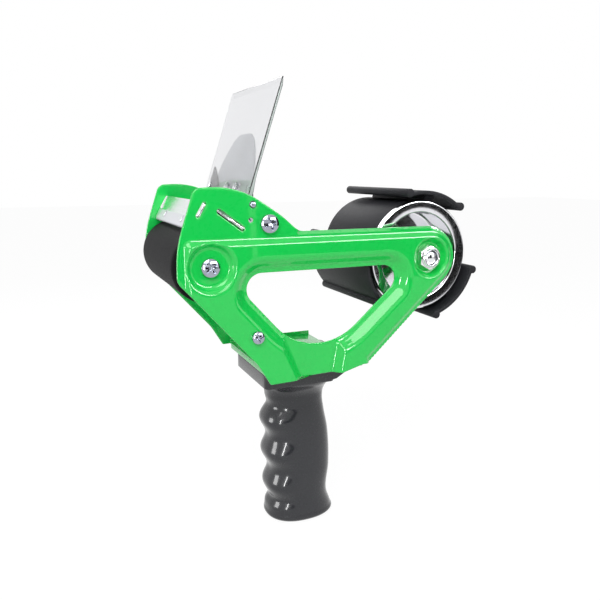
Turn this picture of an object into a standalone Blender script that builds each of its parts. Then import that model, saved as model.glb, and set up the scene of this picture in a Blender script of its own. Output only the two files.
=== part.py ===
"""Hand-held dispenser for three-inch packing tape, with a stamped steel frame and a pistol grip.

Metres, +Z up. +X runs from the rubber roller at the front to the tape hub at the back, and +Y
from the side plate that carries the hub to the shorter plate opposite. The origin is the centre
of the grip's flat base, on which the dispenser stands. Run it from Blender's text editor or with
blender --background --python part.py
"""

import math

import bmesh
import bpy
import numpy as np
from mathutils import Matrix, Vector
from mathutils.geometry import delaunay_2d_cdt

# Clearances and resolution
SEAT_GAP = 0.0003
RUNNING_GAP = 0.0003
CUT_OVERRUN = 0.002
ARC_STEP = math.radians(18)
SMALL_SIDES = 16
LARGE_SIDES = 40
WELD = 0.000001
PROBE = 0.0001
SHARP_ANGLE = math.radians(35)
HEXAGON_SIDES = 6
FILL_STEP = 0.010

# Frame: two stamped plates, their gap and the axes that they carry
SHEET = 0.0012
FRAME_GAP = 0.0868
HUB_HEIGHT = 0.1704
HUB_BACK = 0.067
FRAME_SPAN = 0.1335
AXLE_RISE = 0.0015

# Relief of the stamping, measured from the window's edge towards the outside
RELIEF_HEAD = 0.003
RELIEF_TOP = 0.005
WINDOW_SLOPE = 0.0095
STEP_SLOPE = 0.0045
FLANGE_WIDTH = 0.0022
PANEL_SLOPE = 0.0065
BAR_TOP = 0.0184
PLATEAU_INSET = 0.0067
DISH_DEPTH = 0.0034
DISH_FLOOR_RADIUS = 0.0095
DISH_RIM_RADIUS = 0.0143
HUB_DISH_DEPTH = 0.005
HUB_DISH_FLOOR_RADIUS = 0.0088
HUB_DISH_RIM_RADIUS = 0.0122

# Roller
ROLLER_SHARE = 0.1455
ROLLER_SIDE_GAP = 0.0020
RUBBER_WALL = 0.005
CORE_WEB = 0.008
CORE_SHELL = 0.0025
SLEEVE_CHAMFER = 0.12
CORE_BOSS_RADIUS = 0.008
AXLE_RADIUS = 0.005

# Screws: thread radius, head radius, head height and length under the head
AXLE_SCREW_RADIUS = 0.0024
AXLE_SCREW_HEAD_RADIUS = 0.0049
AXLE_SCREW_HEAD_HEIGHT = 0.0030
AXLE_SCREW_LENGTH = 0.012
TIE_SCREW_RADIUS = 0.0017
TIE_SCREW_HEAD_RADIUS = 0.0034
TIE_SCREW_HEAD_HEIGHT = 0.0024
TIE_SCREW_LENGTH = 0.010
GRIP_SCREW_RADIUS = 0.0024
GRIP_SCREW_HEAD_RADIUS = 0.0048
GRIP_SCREW_HEAD_HEIGHT = 0.0030
GRIP_SCREW_LENGTH = 0.016
HOLE_GAP = 0.0003
HEAD_CROWN = 0.45
HEAD_FLAT = 0.55
RECESS_REACH = 0.62
RECESS_WIDTH = 0.13
RECESS_DEPTH = 0.60

# Tie rods between the plates
UPPER_TIE_RADIUS = 0.005
LOWER_TIE_RADIUS = 0.0035

# Head fittings
CROSS_SHEET = 0.0012
SLOT_GAP = 0.0004
GUIDE_SLOT_GAP = 0.0007
BLADE_SHEET = 0.0008
BLADE_REACH = 0.0012
TOOTH_PITCH = 0.0025
TOOTH_DEPTH = 0.0012
BLADE_BAND = 0.007
CROSS_SIDE_GAP = 0.0006
TAB_STANDOUT = 0.0005
BLADE_RIVET_HEAD_RADIUS = 0.0019
BLADE_RIVET_HEAD_HEIGHT = 0.0002
SPRING_HOLE_RADIUS = 0.00125

# Flap
FLAP_LEAN = math.radians(18)
FLAP_HEIGHT = 0.0670
FLAP_SHEET = 0.0015
FLAP_FRONT = 0.0032
FLAP_SIDE_GAP = 0.0008
FLAP_ROOT_HEIGHT = 0.0145
FLAP_ROOT_SHEET = 0.0024
FLAP_CHAMFER = 0.0045
CHAMFER_SHARE = 0.6
FLAP_BARREL_RADIUS = 0.0038
PIN_RADIUS = 0.0016
PIN_STANDOUT = 0.0008
HEEL_THICKNESS = 0.0030
HEEL_WIDTH = 0.012
TONGUE_HEIGHT = 0.0395
TONGUE_HALF_WIDTH = 0.034
TONGUE_SHEET = 0.0006
TONGUE_FOOT = 0.005
TONGUE_SHARES = (
    (1.00, 0.00),
    (0.98, 0.30),
    (0.90, 0.48),
    (0.72, 0.72),
    (0.52, 0.90),
    (0.30, 1.00),
)
TAB_SHEET = 0.0006
TAB_TOP = 0.0205
TAB_FOOT = 0.0050
LEAF_RIVET_SHIFT = 0.0072
TAB_WIDTH = 0.026
LEAF_SHARES = (
    (0.00, 0.00),
    (0.00, 1.00),
    (0.08, 0.97),
    (0.30, 0.78),
    (0.60, 0.45),
    (0.85, 0.20),
    (1.00, 0.00),
)
FLAP_RIVET_RADIUS = 0.0015
FLAP_RIVET_HEAD_RADIUS = 0.0026
FLAP_RIVET_HEAD_HEIGHT = 0.0009
SPRING_WIRE = 0.0009
SPRING_COIL_RADIUS = 0.00275
SPRING_TURNS = 5
SPRING_PITCH = 0.0011
SPRING_POCKET = 0.0085
SPRING_LEG = 0.008
SPRING_POCKET_RADIUS = 0.0044
SPRING_SIDES = 12
WIRE_RESOLUTION = 1

# Hub
LIP_STANDOUT = 0.0003
LIP_DEPTH = 0.0035
RING_WIDTH = 0.006
CUP_SHEET = 0.001
CUP_DEPTH = 0.020
CUP_NEAR = -0.034
CUP_CORNER = 0.0006
PAD_RISE = 0.0063
DRUM_LENGTH = 0.064
DRUM_WALL = 0.003
DRUM_WEB = 0.003
PAD_RADIUS = 0.039
PAD_SHEET = 0.0021
PAD_HALF_ANGLE = math.radians(28.5)
PAD_BEAD_RADIUS = 0.0025
PAD_NEAR_REACH = 0.005
PAD_FAR_REACH = 0.008
PAD_STEM_WIDTH = 0.006
PAD_STEM_INSET = 0.0025
PAD_KEY_DEPTH = 0.0017
PAD_ANGLES = (math.radians(76.5), math.radians(195), math.radians(-44))

# Hub bolt and its tape brake
BOLT_RADIUS = 0.004
BOLT_HEAD_ACROSS = 0.013
BOLT_HEAD_HEIGHT = 0.0053
BOLT_INSET = 0.0006
NUT_ACROSS = 0.013
NUT_HEIGHT = 0.0055
NUT_CHAMFER = 0.5
SLEEVE_RADIUS = 0.007
WASHER_RADIUS = 0.009
WASHER_SHEET = 0.0015
BRAKE_RADIUS = 0.014
BRAKE_SHEET = 0.0015
BRAKE_SPRING_RADIUS = 0.0070
BRAKE_SPRING_WIRE = 0.0016
BRAKE_SPRING_TURNS = 5
BRAKE_SPRING_LENGTH = 0.0150

# Saddle and grip
SADDLE_SPAN_SHARES = (-0.7378, -0.3071)
SADDLE_TOP_SHARE = -0.4659
SADDLE_FLANGE = 0.0025
SADDLE_LIP = 0.0025
BLOCK_OVERHANG = 0.004
BLOCK_HALF_WIDTH = 0.0275
BLOCK_DEPTH = 0.0128
BLOCK_CORNER = 0.003
BLOCK_TAPER_START = 0.0125
BLOCK_TAPER_RISE = 0.0105
BLOCK_INSET = 0.0006
GRIP_HALF_WIDTH = 0.0175
GRIP_HALF_DEPTH = 0.0215
FINGER_TOP_SHARE = 0.702
FINGER_PITCH_SHARE = 0.2298
FINGER_WAVE = 0.0018
GRIP_WAVE_SHARE = 0.128
GRIP_SCREW_FRONT = -0.012
GRIP_SCREW_BACK = 0.012
GRIP_SIDES = 30
WAVE_STEPS = 3

# Outlines, in shares of the frame's span, from the hub's axis: along, up and corner radius
HEAD_SHARES = (
    (-0.762, -0.487, 0.011),
    (-0.820, -0.391, 0.190),
    (-1.131, -0.039, 0.045),
    (-1.131, 0.090, 0.500),
    (-1.056, 0.315, 0.040),
    (-0.884, 0.322, 0.337),
    (-0.705, 0.2045, 0.300),
)
NECK_SHARES = (-0.628, 0.138, 0.075)
HEEL_SHARES = ((-0.290, -0.4524, 0.022), (-0.330, -0.449, 0.040), (-0.430, -0.4765, 0.045))
WINDOW_SHARES = ((-0.9296, -0.024, 0.065), (-0.0653, -0.024, 0.059), (-0.5484, -0.4461, 0.262))
PANEL_SHARES = ((-0.682, -0.300), (-0.449, -0.325), (-0.483, -0.520), (-0.584, -0.520))
PLATEAU_FRONT_SHARE = -1.075
LEG_SHARES = (
    (-0.655, 0.172, 0.070),
    (-0.690, 0.050, 0.150),
    (-0.745, -0.130, 0.200),
    (-0.620, -0.340, 0.300),
    (-0.470, -0.4780, 0.020),
)
UPPER_TIE_SHARES = (-0.760, 0.174)
LOWER_TIE_SHARES = (-0.818, -0.278)
PIN_SHARES = (-0.8247, 0.2494)
SPRING_HOLE_SHARES = (-0.834, 0.1895)
BLADE_SLOT_SHARES = ((-1.0175, 0.2555), (-1.0435, 0.2120))
BLADE_PLATE_SHARES = ((-1.0140, 0.2620), (-1.0670, 0.1620))
GUIDE_SLOT_SHARES = ((-0.9600, 0.2255), (-0.8685, 0.1575))
GUIDE_TAB_SHARES = ((-0.9188, 0.1949), (-0.8685, 0.1575))
GUIDE_PLATE_SHARES = ((-0.9780, 0.2388), (-0.8560, 0.1482))

# Places of the creases across a slope, in shares of its width
SLOPE_CREASES = (1 / 3, 2 / 3, 1)

# Pieces that move with each joint
FLAP_NODES = (
    "clear_flap",
    "tape_tongue",
    "tongue_rivet_1",
    "tongue_rivet_2",
    "flap_corner_leaf",
    "leaf_rivet",
)
ROLLER_NODES = ("roller_core", "roller_sleeve")
HUB_NODES = ("hub_drum", "core_pad_1", "core_pad_2", "core_pad_3", "hub_cup")

# Grip sections: height share, front and back reach shares, half-width share and squareness
GRIP_SECTION_SHARES = (
    (0.000, 0.91, 0.98, 0.93, 2.3),
    (0.022, 1.00, 1.08, 1.02, 2.3),
    (0.060, 0.99, 1.03, 1.00, 2.4),
    (0.140, 0.95, 0.90, 0.96, 2.5),
    (0.360, 0.98, 0.95, 0.98, 2.6),
    (0.500, 1.00, 0.94, 0.98, 2.6),
    (0.620, 1.03, 0.89, 0.96, 2.6),
    (0.760, 1.02, 0.77, 0.92, 2.5),
    (0.845, 0.96, 0.73, 0.91, 2.4),
    (0.895, 0.98, 0.75, 0.95, 2.4),
    (0.940, 1.03, 0.79, 1.10, 2.6),
    (0.975, 1.16, 0.80, 1.28, 3.0),
    (1.000, 1.22, 0.79, 1.36, 3.4),
)

HALF_GAP = FRAME_GAP / 2
AXLE_FRONT = HUB_BACK - FRAME_SPAN
ROLLER_RADIUS = ROLLER_SHARE * FRAME_SPAN
FLAP_BACK = FLAP_FRONT - FLAP_ROOT_SHEET
DRUM_RADIUS = PAD_RADIUS - PAD_RISE
LIP_RADIUS = DRUM_RADIUS + LIP_STANDOUT
CUP_RADIUS = LIP_RADIUS - RING_WIDTH
SADDLE_FRONT, SADDLE_BACK = (HUB_BACK + share * FRAME_SPAN for share in SADDLE_SPAN_SHARES)
SADDLE_TOP = HUB_HEIGHT + SADDLE_TOP_SHARE * FRAME_SPAN
BLOCK_BACK = SADDLE_BACK + BLOCK_OVERHANG
BLOCK_BOTTOM = SADDLE_TOP - BLOCK_DEPTH
FINGER_TOP = FINGER_TOP_SHARE * BLOCK_BOTTOM
FINGER_PITCH = FINGER_PITCH_SHARE * BLOCK_BOTTOM
GRIP_WAVE_LOW = GRIP_WAVE_SHARE * BLOCK_BOTTOM
AXLE_HEIGHT = HUB_HEIGHT + AXLE_RISE
DISH_INSIDE = HALF_GAP + RELIEF_TOP - DISH_DEPTH - RELIEF_HEAD
HUB_DISH_INSIDE = HALF_GAP + RELIEF_TOP - HUB_DISH_DEPTH - RELIEF_HEAD
PANEL_INSIDE = HALF_GAP - RELIEF_HEAD
LEG_INSIDE = HALF_GAP + RELIEF_TOP - RELIEF_HEAD

COLOURS = {
    "green_paint": ((0.035, 0.62, 0.12, 1.0), 0.22, 0.0),
    "grip_plastic": ((0.060, 0.062, 0.070, 1.0), 0.25, 0.0),
    "hub_plastic": ((0.065, 0.065, 0.075, 1.0), 0.42, 0.0),
    "rubber": ((0.035, 0.033, 0.036, 1.0), 0.62, 0.0),
    "core_plastic": ((0.020, 0.020, 0.022, 1.0), 0.45, 0.0),
    "bright_steel": ((0.78, 0.78, 0.80, 1.0), 0.16, 1.0),
    "satin_steel": ((0.66, 0.65, 0.70, 1.0), 0.34, 1.0),
    "clear_plastic": ((0.86, 0.88, 0.90, 0.35), 0.08, 0.0),
    "milky_plastic": ((0.80, 0.81, 0.84, 0.60), 0.35, 0.0),
    "friction_felt": ((0.12, 0.10, 0.08, 1.0), 0.90, 0.0),
}


def clear_scene():
    for item in list(bpy.data.objects):
        bpy.data.objects.remove(item, do_unlink=True)


def make_collection(name):
    collection = bpy.data.collections.new(name)
    bpy.context.scene.collection.children.link(collection)
    return collection


def material(slot):
    """The named finish, made once."""
    if slot in bpy.data.materials:
        return bpy.data.materials[slot]
    colour, roughness, metallic = COLOURS[slot]
    made = bpy.data.materials.new(slot)
    made.use_nodes = True
    shader = made.node_tree.nodes["Principled BSDF"]
    shader.inputs["Base Color"].default_value = colour
    shader.inputs["Roughness"].default_value = roughness
    shader.inputs["Metallic"].default_value = metallic
    shader.inputs["Alpha"].default_value = colour[3]
    made.diffuse_color = colour
    return made


def add_object(name, data, slot, collection=None):
    made = bpy.data.objects.new(name, data)
    (collection or PARTS).objects.link(made)
    if slot:
        made.data.materials.append(material(slot))
    return made


def add_cutter(name, data):
    made = add_object(name, data, None, CUTTERS)
    made.hide_render = True
    made.display_type = "WIRE"
    return made


def boolean(target, other, operation="DIFFERENCE"):
    modifier = target.modifiers.new(operation.title(), "BOOLEAN")
    modifier.operation = operation
    modifier.object = other


def frame_point(shares):
    """A point of the side view from shares of the frame's span, counted from the hub's axis."""
    return (HUB_BACK + shares[0] * FRAME_SPAN, HUB_HEIGHT + shares[1] * FRAME_SPAN)


def frame_corner(shares):
    return (*frame_point(shares), shares[2] * FRAME_SPAN)


def arc(centre, radius, start, sweep):
    """Points of an arc in the side view, both ends included."""
    count = max(2, math.ceil(abs(sweep) / ARC_STEP))
    angles = (start + sweep * k / count for k in range(count + 1))
    return [(centre[0] + radius * math.cos(a), centre[1] + radius * math.sin(a)) for a in angles]


def circle(centre, radius, sides=SMALL_SIDES):
    turns = (2 * math.pi * k / sides for k in range(sides))
    return [(centre[0] + radius * math.cos(a), centre[1] + radius * math.sin(a)) for a in turns]


def rounded(corners):
    """A closed outline through the corners, each (along, up, radius) cut by its own tangent arc."""
    outline = []
    for k, (x, z, radius) in enumerate(corners):
        here = Vector((x, z))
        back = (Vector(corners[k - 1][:2]) - here).normalized()
        ahead = (Vector(corners[(k + 1) % len(corners)][:2]) - here).normalized()
        half = back.angle(ahead) / 2
        if radius <= 0:
            outline.append((x, z))
            continue
        centre = here + (back + ahead).normalized() * radius / math.sin(half)
        start = here + back * radius / math.tan(half) - centre
        end = here + ahead * radius / math.tan(half) - centre
        first = math.atan2(start.y, start.x)
        sweep = (math.atan2(end.y, end.x) - first + math.pi) % (2 * math.pi) - math.pi
        outline += arc(centre, radius, first, sweep)
    return outline


def capsule(first, second, half_width):
    """The outline of a round-ended slot between two centres."""
    along = math.atan2(second[1] - first[1], second[0] - first[0])
    quarter = math.pi / 2
    ends = arc(second, half_width, along - quarter, math.pi)
    return ends + arc(first, half_width, along + quarter, math.pi)


def shifted_corners(corners, outward):
    """The corners of an outline moved outward along both sides' normals, radii grown alike."""
    area = sum(
        corners[k - 1][0] * corners[k][1] - corners[k][0] * corners[k - 1][1]
        for k in range(len(corners))
    )
    turn = 1 if area > 0 else -1
    moved = []
    for k, (x, z, radius) in enumerate(corners):
        here = Vector((x, z))
        before = (here - Vector(corners[k - 1][:2])).normalized()
        after = (Vector(corners[(k + 1) % len(corners)][:2]) - here).normalized()
        normal_before = Vector((before.y, -before.x)) * turn
        normal_after = Vector((after.y, -after.x)) * turn
        bisector = (normal_before + normal_after).normalized()
        place = here + bisector * outward / bisector.dot(normal_after)
        bulges = before.cross(after) * turn > 0
        moved.append((place.x, place.y, radius + (outward if bulges else -outward)))
    return moved


def inside(points, outline):
    """True for each point within the closed outline."""
    points = np.asarray(points, float)
    ends = np.asarray(outline, float)
    starts = np.roll(ends, 1, axis=0)
    within = np.zeros(len(points), bool)
    for (ax, az), (bx, bz) in zip(starts, ends):
        if az == bz:
            continue
        crosses = (az > points[:, 1]) != (bz > points[:, 1])
        at = ax + (points[:, 1] - az) * (bx - ax) / (bz - az)
        within ^= crosses & (points[:, 0] < at)
    return within


def distance(points, line, closed=True):
    """Each point's distance to the line through the given points."""
    points = np.asarray(points, float)
    ends = np.asarray(line, float)
    starts = np.roll(ends, 1, axis=0)
    if not closed:
        starts, ends = ends[:-1], ends[1:]
    nearest = np.full(len(points), np.inf)
    for start, end in zip(starts, ends):
        run = end - start
        share = np.clip((points - start) @ run / max(run @ run, WELD * WELD), 0, 1)
        gap = np.linalg.norm(points - start - share[:, None] * run, axis=1)
        nearest = np.minimum(nearest, gap)
    return nearest


def ramp(value, width):
    """Zero at no distance, one past the width, with rounded shoulders between."""
    return (1 - np.cos(math.pi * np.clip(value / width, 0, 1))) / 2


def divided(line, closed):
    """The line with its long straight runs split."""
    ends = line[1:] + line[:1] if closed else line[1:]
    points = []
    for (ax, az), (bx, bz) in zip(line, ends):
        count = max(1, round(math.hypot(bx - ax, bz - az) / FILL_STEP))
        points += [(ax + (bx - ax) * k / count, az + (bz - az) * k / count) for k in range(count)]
    return points if closed else points + [line[-1]]


def filling(outline, taken):
    """Loose points in a staggered grid within the outline, away from the points already there."""
    low, high = np.min(outline, axis=0), np.max(outline, axis=0)
    rows = np.arange(low[1], high[1], FILL_STEP)
    columns = np.arange(low[0], high[0], FILL_STEP)
    grid = np.array([(x + FILL_STEP / 2 * (k % 2), z) for k, z in enumerate(rows) for x in columns])
    gaps = np.linalg.norm(grid[:, None] - np.array([tuple(p) for p in taken])[None], axis=2)
    clear = inside(grid, outline) & (gaps.min(axis=1) > FILL_STEP / 2)
    return grid[clear].tolist()


def sheet_from_outline(outline, holes, creases, relief):
    """A stamped sheet's outer surface: triangles between all lines, lifted by the relief."""
    points, edges = [], []
    for line, closed in [(outline, True)] + [(h, True) for h in holes] + creases:
        line = divided(line, closed)
        first = len(points)
        points += [Vector(p) for p in line]
        edges += [(first + k, first + k + 1) for k in range(len(line) - 1)]
        if closed:
            edges.append((len(points) - 1, first))
    points += [Vector(p) for p in filling(outline, points)]
    flat, _, faces, *_ = delaunay_2d_cdt(points, edges, [], 0, WELD)
    places = np.array([tuple(p) for p in flat])
    centres = np.array([places[list(face)].mean(axis=0) for face in faces])
    kept = inside(centres, outline)
    for hole in holes:
        kept &= ~inside(centres, hole)
    heights = relief(places)
    shape = bmesh.new()
    for (x, z), lift in zip(places, heights):
        shape.verts.new((x, -lift, z))
    shape.verts.ensure_lookup_table()
    for face, wanted in zip(faces, kept):
        if wanted:
            shape.faces.new([shape.verts[k] for k in face])
    loose = [vertex for vertex in shape.verts if not vertex.link_faces]
    bmesh.ops.delete(shape, geom=loose, context="VERTS")
    give_thickness(shape, relief)
    mesh = bpy.data.meshes.new("sheet")
    shape.to_mesh(mesh)
    shape.free()
    return mesh


def give_thickness(shape, relief):
    """Extrudes the sheet inwards, square to its slope, and straight across along its edges."""
    rims = {tuple(v.co) for v in shape.verts if any(e.is_boundary for e in v.link_edges)}
    grown = bmesh.ops.extrude_face_region(shape, geom=list(shape.faces), use_keep_orig=True)
    inner = [item for item in grown["geom"] if isinstance(item, bmesh.types.BMVert)]
    places = np.array([(v.co.x, v.co.z) for v in inner])
    sides = []
    for step in ((PROBE, 0), (0, PROBE)):
        sides.append((relief(places + step) - relief(places - step)) / (2 * PROBE))
    steepness = np.sqrt(1 + sides[0] ** 2 + sides[1] ** 2)
    for vertex, along, up, steep in zip(inner, *sides, steepness):
        if tuple(vertex.co) in rims:
            vertex.co.y += SHEET
        else:
            vertex.co += Vector((along, 1, up)) * (SHEET / steep)
    bmesh.ops.recalc_face_normals(shape, faces=shape.faces)


def stamped_plate(name, mesh, mirrored):
    """The plate as an object, mirrored for the far side."""
    if mirrored:
        mesh.transform(Matrix.Scale(-1, 4, Vector((0, 1, 0))))
        mesh.flip_normals()
    mesh.shade_smooth()
    mesh.set_sharp_from_angle(angle=SHARP_ANGLE)
    return add_object(name, mesh, "green_paint")


def slot_outline(shares, gap):
    first, second = (frame_point(s) for s in shares)
    return capsule(first, second, CROSS_SHEET / 2 + gap)


def plate_holes(far=False):
    """The holes that both plates share, and the hub's own in the near one."""
    axle = (AXLE_FRONT, AXLE_HEIGHT)
    holes = [
        circle(axle, AXLE_SCREW_RADIUS + HOLE_GAP),
        circle(frame_point(UPPER_TIE_SHARES), AXLE_SCREW_RADIUS + HOLE_GAP),
        circle(frame_point(LOWER_TIE_SHARES), TIE_SCREW_RADIUS + HOLE_GAP),
        circle(frame_point(PIN_SHARES), PIN_RADIUS + HOLE_GAP),
        circle(frame_point(SPRING_HOLE_SHARES), SPRING_HOLE_RADIUS),
        slot_outline(BLADE_SLOT_SHARES, SLOT_GAP),
        slot_outline(GUIDE_SLOT_SHARES, GUIDE_SLOT_GAP),
    ]
    return holes if far else holes + [circle((HUB_BACK, HUB_HEIGHT), BOLT_RADIUS + HOLE_GAP)]


def near_outline_corners():
    """Head, neck, bar, hub end and heel. The bar's top and the back edge wrap the hub's axis."""
    heel = frame_point(HEEL_SHARES[0])
    to_hub = Vector((HUB_BACK - heel[0], HUB_HEIGHT - heel[1]))
    lean = math.atan2(to_hub.y, to_hub.x) - math.asin(BAR_TOP / to_hub.length)
    corner = HUB_BACK + BAR_TOP * (1 + math.cos(lean)) / math.sin(lean)
    head = [frame_corner(s) for s in HEAD_SHARES]
    neck = frame_corner(NECK_SHARES)
    top = HUB_HEIGHT + BAR_TOP
    return head + [
        (neck[0], top, neck[2]),
        (corner, top, BAR_TOP),
        *[frame_corner(s) for s in HEEL_SHARES],
    ]


def dish_drop(places, centre, floor_radius, rim_radius, depth):
    """How far a round dish lowers each point of the sheet."""
    away = np.linalg.norm(places - np.array(centre), axis=1)
    return depth * (1 - ramp(away - floor_radius, rim_radius - floor_radius))


def tie_seat(places):
    """A flat seat at full height round the lower tie rod's hole, fading out beyond the screw head."""
    away = np.linalg.norm(places - np.array(frame_point(LOWER_TIE_SHARES)), axis=1)
    return RELIEF_TOP * (1 - ramp(away - TIE_SCREW_HEAD_RADIUS, TIE_SCREW_HEAD_RADIUS))


def seat_crease():
    return [(circle(frame_point(LOWER_TIE_SHARES), TIE_SCREW_HEAD_RADIUS), True)]


def near_side_plate():
    """Ring-shaped stamping: raised bar and legs that fall away to the window and the outer edge."""
    corners = near_outline_corners()
    outline = rounded(corners)
    window_corners = [frame_corner(s) for s in WINDOW_SHARES]
    window = rounded(window_corners)
    panel = [frame_point(s) for s in PANEL_SHARES]
    plateau_front = HUB_BACK + PLATEAU_FRONT_SHARE * FRAME_SPAN
    bar_line = HUB_HEIGHT + BAR_TOP - PLATEAU_INSET
    first_flange = len(HEAD_SHARES)
    flange_corners = corners[first_flange : first_flange + 3]
    flange = rounded_run(flange_corners)
    inner_hub = shifted_run(flange, PLATEAU_INSET)
    outside = FRAME_SPAN
    plateau = [
        (plateau_front, bar_line),
        *[p for p in inner_hub if p[0] > neck_end()],
        (corners[-3][0], HUB_HEIGHT - outside),
        (plateau_front, HUB_HEIGHT - outside),
    ]
    axle = (AXLE_FRONT, AXLE_HEIGHT)
    hub = (HUB_BACK, HUB_HEIGHT)

    def relief(places):
        window_gap = distance(places, window)
        window_gap[inside(places, window)] = 0
        lift = RELIEF_TOP * ramp(window_gap, WINDOW_SLOPE)
        off_plateau = np.where(inside(places, plateau), 0, distance(places, plateau))
        step = RELIEF_TOP - RELIEF_HEAD
        lift = np.minimum(lift, RELIEF_TOP - step * ramp(off_plateau, STEP_SLOPE))
        flange_gap = distance(places, flange, closed=False)
        lift = np.minimum(lift, RELIEF_TOP * ramp(flange_gap, FLANGE_WIDTH))
        off_panel = np.where(inside(places, panel), 0, distance(places, panel))
        lift = np.minimum(lift, RELIEF_TOP * ramp(off_panel, PANEL_SLOPE))
        lift = np.maximum(lift, tie_seat(places))
        dish = dish_drop(places, axle, DISH_FLOOR_RADIUS, DISH_RIM_RADIUS, DISH_DEPTH)
        lift = np.minimum(lift, RELIEF_TOP - dish)
        dish = dish_drop(places, hub, HUB_DISH_FLOOR_RADIUS, HUB_DISH_RIM_RADIUS, HUB_DISH_DEPTH)
        lift = np.minimum(lift, RELIEF_TOP - dish)
        return HALF_GAP + SHEET - RELIEF_HEAD + lift

    creases = [
        (rounded(shifted_corners(window_corners, WINDOW_SLOPE * share)), True) for share in SLOPE_CREASES
    ]
    creases += [(plateau, True), (shifted_run(flange, FLANGE_WIDTH), False)]
    creases += [([(x, z + STEP_SLOPE) for x, z in plateau[:2]], False)]
    creases += [([(x - STEP_SLOPE, z) for x, z in (plateau[0], plateau[-1])], False)]
    creases += [(panel, True), (shifted_run(panel[::3], PANEL_SLOPE), False)]
    creases += [(shifted_run(panel[1:3], -PANEL_SLOPE), False)]
    creases += dish_creases(axle, DISH_FLOOR_RADIUS, DISH_RIM_RADIUS)
    creases += dish_creases(hub, HUB_DISH_FLOOR_RADIUS, HUB_DISH_RIM_RADIUS)
    creases += seat_crease()
    mesh = sheet_from_outline(outline, [window, *plate_holes()], creases, relief)
    return stamped_plate("near_side_plate", mesh, mirrored=False)


def neck_end():
    return frame_corner(NECK_SHARES)[0]


def rounded_run(corners):
    """The open line through the corners, each but its two ends rounded."""
    return rounded([(*corners[0][:2], 0), *corners[1:-1], (*corners[-1][:2], 0)])


def shifted_run(line, rightward):
    """An open line moved sideways, to the right of its own direction."""
    points = np.array(line)
    runs = np.diff(points, axis=0)
    runs /= np.linalg.norm(runs, axis=1)[:, None]
    normals = np.stack([runs[:, 1], -runs[:, 0]], axis=1)
    joined = np.vstack([normals[:1], normals[:-1] + normals[1:], normals[-1:]])
    joined /= np.linalg.norm(joined, axis=1)[:, None]
    return [tuple(p) for p in points + joined * rightward]


def dish_creases(centre, floor_radius, rim_radius):
    middle = (floor_radius + rim_radius) / 2
    return [(circle(centre, r, LARGE_SIDES // 2), True) for r in (floor_radius, middle, rim_radius)]


def far_side_plate():
    """The head and front leg again, mirrored. Without a bar it leaves the hub's end open."""
    leg = rounded_run([frame_corner(s) for s in LEG_SHARES])
    corners = [frame_corner(s) for s in HEAD_SHARES + LEG_SHARES]
    plateau_front = HUB_BACK + PLATEAU_FRONT_SHARE * FRAME_SPAN
    bar_line = HUB_HEIGHT + BAR_TOP - PLATEAU_INSET
    beyond = FRAME_SPAN
    plateau = [
        (plateau_front, bar_line),
        (beyond, bar_line),
        (beyond, HUB_HEIGHT - beyond),
        (plateau_front, HUB_HEIGHT - beyond),
    ]
    axle = (AXLE_FRONT, AXLE_HEIGHT)

    def relief(places):
        off_plateau = np.where(inside(places, plateau), 0, distance(places, plateau))
        step = RELIEF_TOP - RELIEF_HEAD
        lift = RELIEF_TOP - step * ramp(off_plateau, STEP_SLOPE)
        leg_gap = distance(places, leg, closed=False)
        lift = np.minimum(lift, RELIEF_TOP * ramp(leg_gap, WINDOW_SLOPE))
        lift = np.maximum(lift, tie_seat(places))
        dish = dish_drop(places, axle, DISH_FLOOR_RADIUS, DISH_RIM_RADIUS, DISH_DEPTH)
        lift = np.minimum(lift, RELIEF_TOP - dish)
        return HALF_GAP + SHEET - RELIEF_HEAD + lift

    creases = [(shifted_run(leg, WINDOW_SLOPE * share), False) for share in SLOPE_CREASES]
    creases += [(plateau, True)]
    creases += [([(x, z + STEP_SLOPE) for x, z in plateau[:2]], False)]
    creases += [([(x - STEP_SLOPE, z) for x, z in (plateau[0], plateau[-1])], False)]
    creases += dish_creases(axle, DISH_FLOOR_RADIUS, DISH_RIM_RADIUS)
    creases += seat_crease()
    mesh = sheet_from_outline(rounded(corners), plate_holes(far=True), creases, relief)
    return stamped_plate("far_side_plate", mesh, mirrored=True)


def prism_mesh(outline, near, far):
    """The side-view outline given its width from near to far across the frame."""
    shape = bmesh.new()
    ring = [shape.verts.new((x, near, z)) for x, z in outline]
    face = shape.faces.new(ring)
    grown = bmesh.ops.extrude_face_region(shape, geom=[face])
    moved = [item for item in grown["geom"] if isinstance(item, bmesh.types.BMVert)]
    bmesh.ops.translate(shape, verts=moved, vec=(0, far - near, 0))
    bmesh.ops.recalc_face_normals(shape, faces=shape.faces)
    mesh = bpy.data.meshes.new("prism")
    shape.to_mesh(mesh)
    shape.free()
    return mesh


def prism(name, outline, near, far, slot):
    return add_object(name, prism_mesh(outline, near, far), slot)


def prism_cutter(name, outline, near, far):
    return add_cutter(name, prism_mesh(outline, near, far))


def lathe_mesh(profile, centre, sides):
    """The closed (radius, across) profile turned about the line across the frame at the centre."""
    shape = bmesh.new()
    ring = [shape.verts.new((radius, across, 0)) for radius, across in profile]
    edges = [shape.edges.new((ring[k - 1], ring[k])) for k in range(len(ring))]
    bmesh.ops.spin(
        shape,
        geom=ring + edges,
        cent=(0, 0, 0),
        axis=(0, 1, 0),
        angle=2 * math.pi,
        steps=sides,
        use_merge=True,
    )
    bmesh.ops.remove_doubles(shape, verts=shape.verts, dist=WELD)
    flat = [edge for edge in shape.edges if not edge.link_faces]
    bmesh.ops.delete(shape, geom=flat, context="EDGES")
    bmesh.ops.recalc_face_normals(shape, faces=shape.faces)
    bmesh.ops.translate(shape, verts=shape.verts, vec=(centre[0], 0, centre[1]))
    mesh = bpy.data.meshes.new("turned")
    shape.to_mesh(mesh)
    shape.free()
    mesh.shade_smooth()
    mesh.set_sharp_from_angle(angle=SHARP_ANGLE)
    return mesh


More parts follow.
